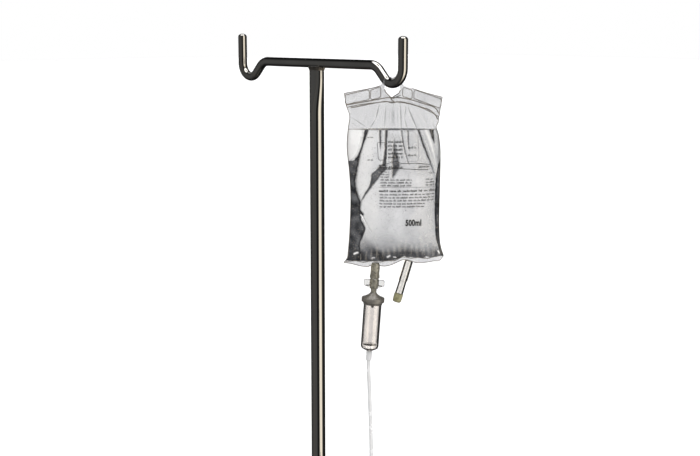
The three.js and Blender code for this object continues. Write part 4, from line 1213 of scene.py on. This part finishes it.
TUBE_INSIDE, TUBE_OUTSIDE = 11.3, 12.5
piece("mast_sleeve", *turned([
    (TUBE_INSIDE, TUBE_LOW), (TUBE_OUTSIDE, TUBE_LOW), (TUBE_OUTSIDE, TUBE_HIGH), (TUBE_INSIDE, TUBE_HIGH),
], STAND, 96, 0.3), CHROME, "base", "outer_tube", "polished_tube")

barrel = turned([
    (12.9, COLLAR_BOTTOM), (18, COLLAR_BOTTOM), (20, COLLAR_BOTTOM + 3), (20, COLLAR_BOTTOM + 22),
    (19.3, COLLAR_BOTTOM + 23), (19.3, COLLAR_BOTTOM + 26), (20, COLLAR_BOTTOM + 27), (20, COLLAR_TOP - 12),
    (17, COLLAR_TOP - 3), (14, COLLAR_TOP), (10.4, COLLAR_TOP), (10.4, COLLAR_TOP - 48),
    (12.9, COLLAR_TOP - 48),
], STAND, 96, 1.0)
boss = turned([(8.4, 17), (11.5, 17), (13, 19), (13, 35.5), (11.8, 37), (8.4, 37)], CLAMP, 72, 0.8)
piece("collar_housing", *joined([barrel, boss]), DARK, "base", "collar", "dark_plastic")

KNOB_RINGS = [  # radius over the lobes, depth of the six dips, distance from the mast axis
    (4.4, 0, 40), (9, 0, 39.5), (11.6, 0, 39.7), (12.4, 0, 40.6), (12.8, 0.1, 43), (14, 0.6, 45),
    (17.6, 2.2, 47), (20, 3.4, 48.4), (21.4, 4.1, 50.4), (22, 4.5, 53), (22, 4.5, 59), (21.4, 4.2, 61.4),
    (20, 3.7, 63),
    (17.6, 2.4, 64.4), (14.4, 0.8, 65.2), (11, 0, 65.5), (4, 0, 65.1), (0.5, 0, 65),
]
knob_rings = []
for reach, dip, distance in KNOB_RINGS:
    ring = []
    for k in range(144):
        angle = 2 * math.pi * k / 144
        radius = reach - dip * (0.5 - 0.5 * math.cos(6 * angle)) ** 1.3
        ring.append(CLAMP @ Vector((radius * math.cos(angle), radius * math.sin(angle), distance)))
    knob_rings.append(ring)
piece("knob_grip", *loft(knob_rings), DARK, "knob", "clamp_knob", "dark_plastic")

# ------------------------------------------------------------------ hub, legs and casters

piece("hub_casting", *turned([
    (0, HUB_BOTTOM + 5), (8.3, HUB_BOTTOM + 5), (8.3, HUB_BOTTOM), (HUB_RADIUS - 3, HUB_BOTTOM),
    (HUB_RADIUS, HUB_BOTTOM + 3), (HUB_RADIUS, HUB_TOP - 12), (HUB_RADIUS - 8, HUB_TOP), (12.8, HUB_TOP),
    (12.8, HUB_BOTTOM + 10), (0, HUB_BOTTOM + 10),
], STAND, 112, 1.6), CASTING, "base", "base_hub", "cast_hub")
piece("hub_dome", *turned([
    (12.8, HUB_TOP + 0.3), (46, HUB_TOP + 0.3), (46, HUB_TOP + 6), (40, HUB_TOP + 14), (22, HUB_TOP + 24),
    (17, HUB_TOP + 34), (12.8, HUB_TOP + 34),
], STAND, 112, 2.4), DARK, "base", "hub_cover", "dark_plastic")

CASTER_CIRCLE, CASTER_YAW, TRAIL, WHEEL_RADIUS = 290, math.radians(115), 22, 30
LEG_START, LEG_RADIUS, LEG_HUB_HEIGHT, LEG_END_HEIGHT = 28, 11, 116, 90


def leg_spot(radius):
    """Place on the sloping centreline of a leg."""
    drop = (LEG_HUB_HEIGHT - LEG_END_HEIGHT) * radius / CASTER_CIRCLE
    return Vector((radius, 0, LEG_HUB_HEIGHT - drop))


for i, degrees in enumerate((45, 135, 225, 315), start=1):
    arm = STAND @ Matrix.Rotation(math.radians(degrees), 4, "Z")
    tip = arm @ Matrix.Translation((CASTER_CIRCLE, 0, 0))
    tube_points = [arm @ leg_spot(LEG_START + (CASTER_CIRCLE - LEG_START) * k / 6) for k in range(7)]
    socket = turned([
        (5.6, 73), (12, 73), (13, 74), (13, 103.4), (11.6, 105.4), (8, 106), (0, 106), (0, 102), (5.6, 102),
    ], tip, 56, 0.6)
    verts, faces = joined([sweep(tube_points, LEG_RADIUS * MM, 56), socket])
    piece(f"leg_tube_{i}", verts, faces, CHROME, "base", f"leg_{i}", "polished_tube", sharp=50)
    axle = tip @ Matrix.Rotation(CASTER_YAW, 4, "Z") @ Matrix.Translation((TRAIL, 0, WHEEL_RADIUS))
    wheel = axle @ Matrix.Rotation(math.pi / 2, 4, "X")
    piece(f"wheel_tread_{i}", *turned([
        (22, -10), (26.5, -10), (28.6, -8.6), (29.7, -5.6), (30, -2), (30, 2), (29.7, 5.6), (28.6, 8.6),
        (26.5, 10), (22, 10),
    ], wheel, 96, 0.6), TYRE, f"wheel_{i}", f"tyre_{i}", "tyre")
    piece(f"wheel_hub_{i}", *turned([
        (4.3, -11), (8, -11), (9, -9), (17.6, -4), (18.6, -8.8), (19.4, -9.5), (21.7, -9.5), (21.7, 9.5),
        (19.4, 9.5), (18.6, 8.8), (17.6, 4), (9, 9), (8, 11), (4.3, 11),
    ], wheel, 80, 0.5), DARK, f"wheel_{i}", f"wheel_core_{i}", "dark_plastic")
    piece(f"axle_pin_{i}", *turned([
        (0, -17.5), (3.2, -17.5), (4, -16.6), (4, 16.6), (3.2, 17.5), (0, 17.5),
    ], wheel, 40, 0.3), STEEL, f"caster_{i}", f"axle_{i}", "plain_steel")

# ------------------------------------------------------------------ finishes for the nodes that stay

SHOWN = {
    "roller_clamp": WHITE, "clamp_roller": BLUE, "hank_tie": WHITE, "hub_screw": STEEL,
    "tube_plug": STEEL, "collar_bush": NYLON, "threaded_insert": BRASS, "clamp_pad": NYLON,
    "clamp_stud": STEEL, "guide_plug": NYLON, **{f"caster_fork_{i}": STEEL for i in range(1, 5)},
}
ROUNDED = {
    "roller_clamp": 0.5, "clamp_roller": 0.4, "hank_tie": 0.6,
    **{f"caster_fork_{i}": 1.2 for i in range(1, 5)},
}
for node, material in SHOWN.items():
    shown = frame["nodes"][node]
    shown.data.materials.clear()
    shown.data.materials.append(material)
    if node in ROUNDED:
        bevel = shown.modifiers.new("edges", "BEVEL")
        bevel.width = ROUNDED[node] * MM
        bevel.segments = 3
        bevel.limit_method = "ANGLE"
        bevel.angle_limit = math.radians(40)
        bevel.harden_normals = False

# ------------------------------------------------------------------ floor, light and sky

HALF_FLOOR = 60
FLOOR_CORNERS = [(x * HALF_FLOOR, y * HALF_FLOOR, 0) for x, y in ((-1, -1), (1, -1), (1, 1), (-1, 1))]
floor_mesh = bpy.data.meshes.new("floor")
floor_mesh.from_pydata(FLOOR_CORNERS, [], [(0, 1, 2, 3)])
floor = bpy.data.objects.new("floor", floor_mesh)
scene.collection.objects.link(floor)
floor_mesh.materials.append(Finish("pale_floor", (0.86, 0.86, 0.86), 0.9).material)
floor.visible_glossy = False
floor.visible_transmission = False

sun = bpy.data.objects.new("soft_sun", bpy.data.lights.new("soft_sun", "SUN"))
scene.collection.objects.link(sun)
sun.data.energy = 2.2
sun.data.angle = math.radians(30)
sun.visible_glossy = False
sun_direction = AWAY * 0.75 - ACROSS * 0.35 - UP * 1.1
sun.rotation_mode = "QUATERNION"
sun.rotation_quaternion = sun_direction.to_track_quat("-Z", "Y")


def studio_sky():
    """White backdrop for the camera. Mirrors see a dark room with a warm strip light and a lamp overhead,
    and clear plastic sees a lit wall with dark gaps at both sides of the photograph's view."""
    world = bpy.data.worlds.new("studio")
    scene.world = world
    world.use_nodes = True
    tree = world.node_tree
    tree.nodes.clear()

    def node(kind, **settings):
        made = tree.nodes.new("ShaderNode" + kind)
        for key, value in settings.items():
            setattr(made, key, value)
        return made

    def dot(direction):
        made = node("VectorMath", operation="DOT_PRODUCT")
        made.inputs[1].default_value = direction
        tree.links.new(place.outputs["Generated"], made.inputs[0])
        return made.outputs["Value"]

    def ramp(value, stops):
        """Colour by an angle in radians, from stops given in degrees."""
        made = node("ValToRGB")
        set_stops(made, [((degrees + 180) / 360, colour) for degrees, colour in stops])
        share = node("MapRange")
        for key, number in (("From Min", -math.pi), ("From Max", math.pi), ("To Min", 0), ("To Max", 1)):
            share.inputs[key].default_value = number
        tree.links.new(value, share.inputs["Value"])
        tree.links.new(share.outputs["Result"], made.inputs["Fac"])
        return made.outputs["Color"]

    def blend(kind, first, second):
        mix = node("MixRGB", blend_type=kind)
        mix.inputs["Fac"].default_value = 1
        tree.links.new(first, mix.inputs["Color1"])
        tree.links.new(second, mix.inputs["Color2"])
        return mix.outputs["Color"]

    place = node("TexCoord")
    bearing = node("Math", operation="ARCTAN2")
    tree.links.new(dot(ACROSS), bearing.inputs[0])
    tree.links.new(dot(AWAY), bearing.inputs[1])
    rise = node("Math", operation="ARCSINE")
    tree.links.new(dot(UP), rise.inputs[0])

    shadow, glow = (0.035, 0.036, 0.04), (1, 1, 1)
    wall = ramp(bearing.outputs["Value"], [
        (-98, glow), (-80, shadow), (-58, shadow), (-32, glow), (20, glow), (36, (0.10, 0.095, 0.09)),
        (78, (0.05, 0.045, 0.04)), (96, glow),
    ])
    height = ramp(rise.outputs["Value"], [
        (-80, (0.6, 0.6, 0.6)), (-50, glow), (6, glow), (30, (0.12, 0.115, 0.11)),
    ])
    through = blend("MULTIPLY", wall, height)

    dark, dim, faint, strip = (0.03, 0.03, 0.03), (0.21, 0.208, 0.203), (0.10, 0.10, 0.098), (3.4, 3.1, 2.6)
    room = ramp(bearing.outputs["Value"], [
        (-172, dark), (-160, dim), (-122, dim), (-111, (0.30, 0.275, 0.245)), (-100, (0.17, 0.168, 0.163)),
        (-80, dim), (-50, dark), (50, dark), (92, (0.06, 0.06, 0.06)), (106, faint),
        (114, tuple(0.7 * part for part in strip)), (128, strip), (152, strip), (160, faint), (166, dark),
    ])
    overhead = ramp(rise.outputs["Value"], [
        (-70, (0.3, 0.3, 0.3)), (-30, glow), (30, glow), (50, (0.25, 0.25, 0.25)), (75, (0.1, 0.1, 0.1)),
    ])
    walls = blend("MULTIPLY", room, overhead)
    black, lamp = (0, 0, 0), (5.5, 5.4, 5.2)
    ceiling = ramp(rise.outputs["Value"], [(57, black), (61, lamp), (76, lamp), (84, faint)])
    mirror = blend("ADD", walls, ceiling)

    rays = node("LightPath")
    seen = None
    sources = {"Is Glossy Ray": mirror, "Is Transmission Ray": through, "Is Camera Ray": None}
    for kind, source in sources.items():
        mixed = node("MixRGB")
        tree.links.new(rays.outputs[kind], mixed.inputs["Fac"])
        mixed.inputs["Color1"].default_value = (0.95, 0.95, 0.97, 1)
        mixed.inputs["Color2"].default_value = (1, 1, 1, 1)
        if seen:
            tree.links.new(seen, mixed.inputs["Color1"])
        if source:
            tree.links.new(source, mixed.inputs["Color2"])
        seen = mixed.outputs["Color"]
    back = node("Background")
    tree.links.new(seen, back.inputs["Color"])
    tree.links.new(back.outputs["Background"], node("OutputWorld").inputs["Surface"])


studio_sky()
scene.view_settings.view_transform = "Standard"
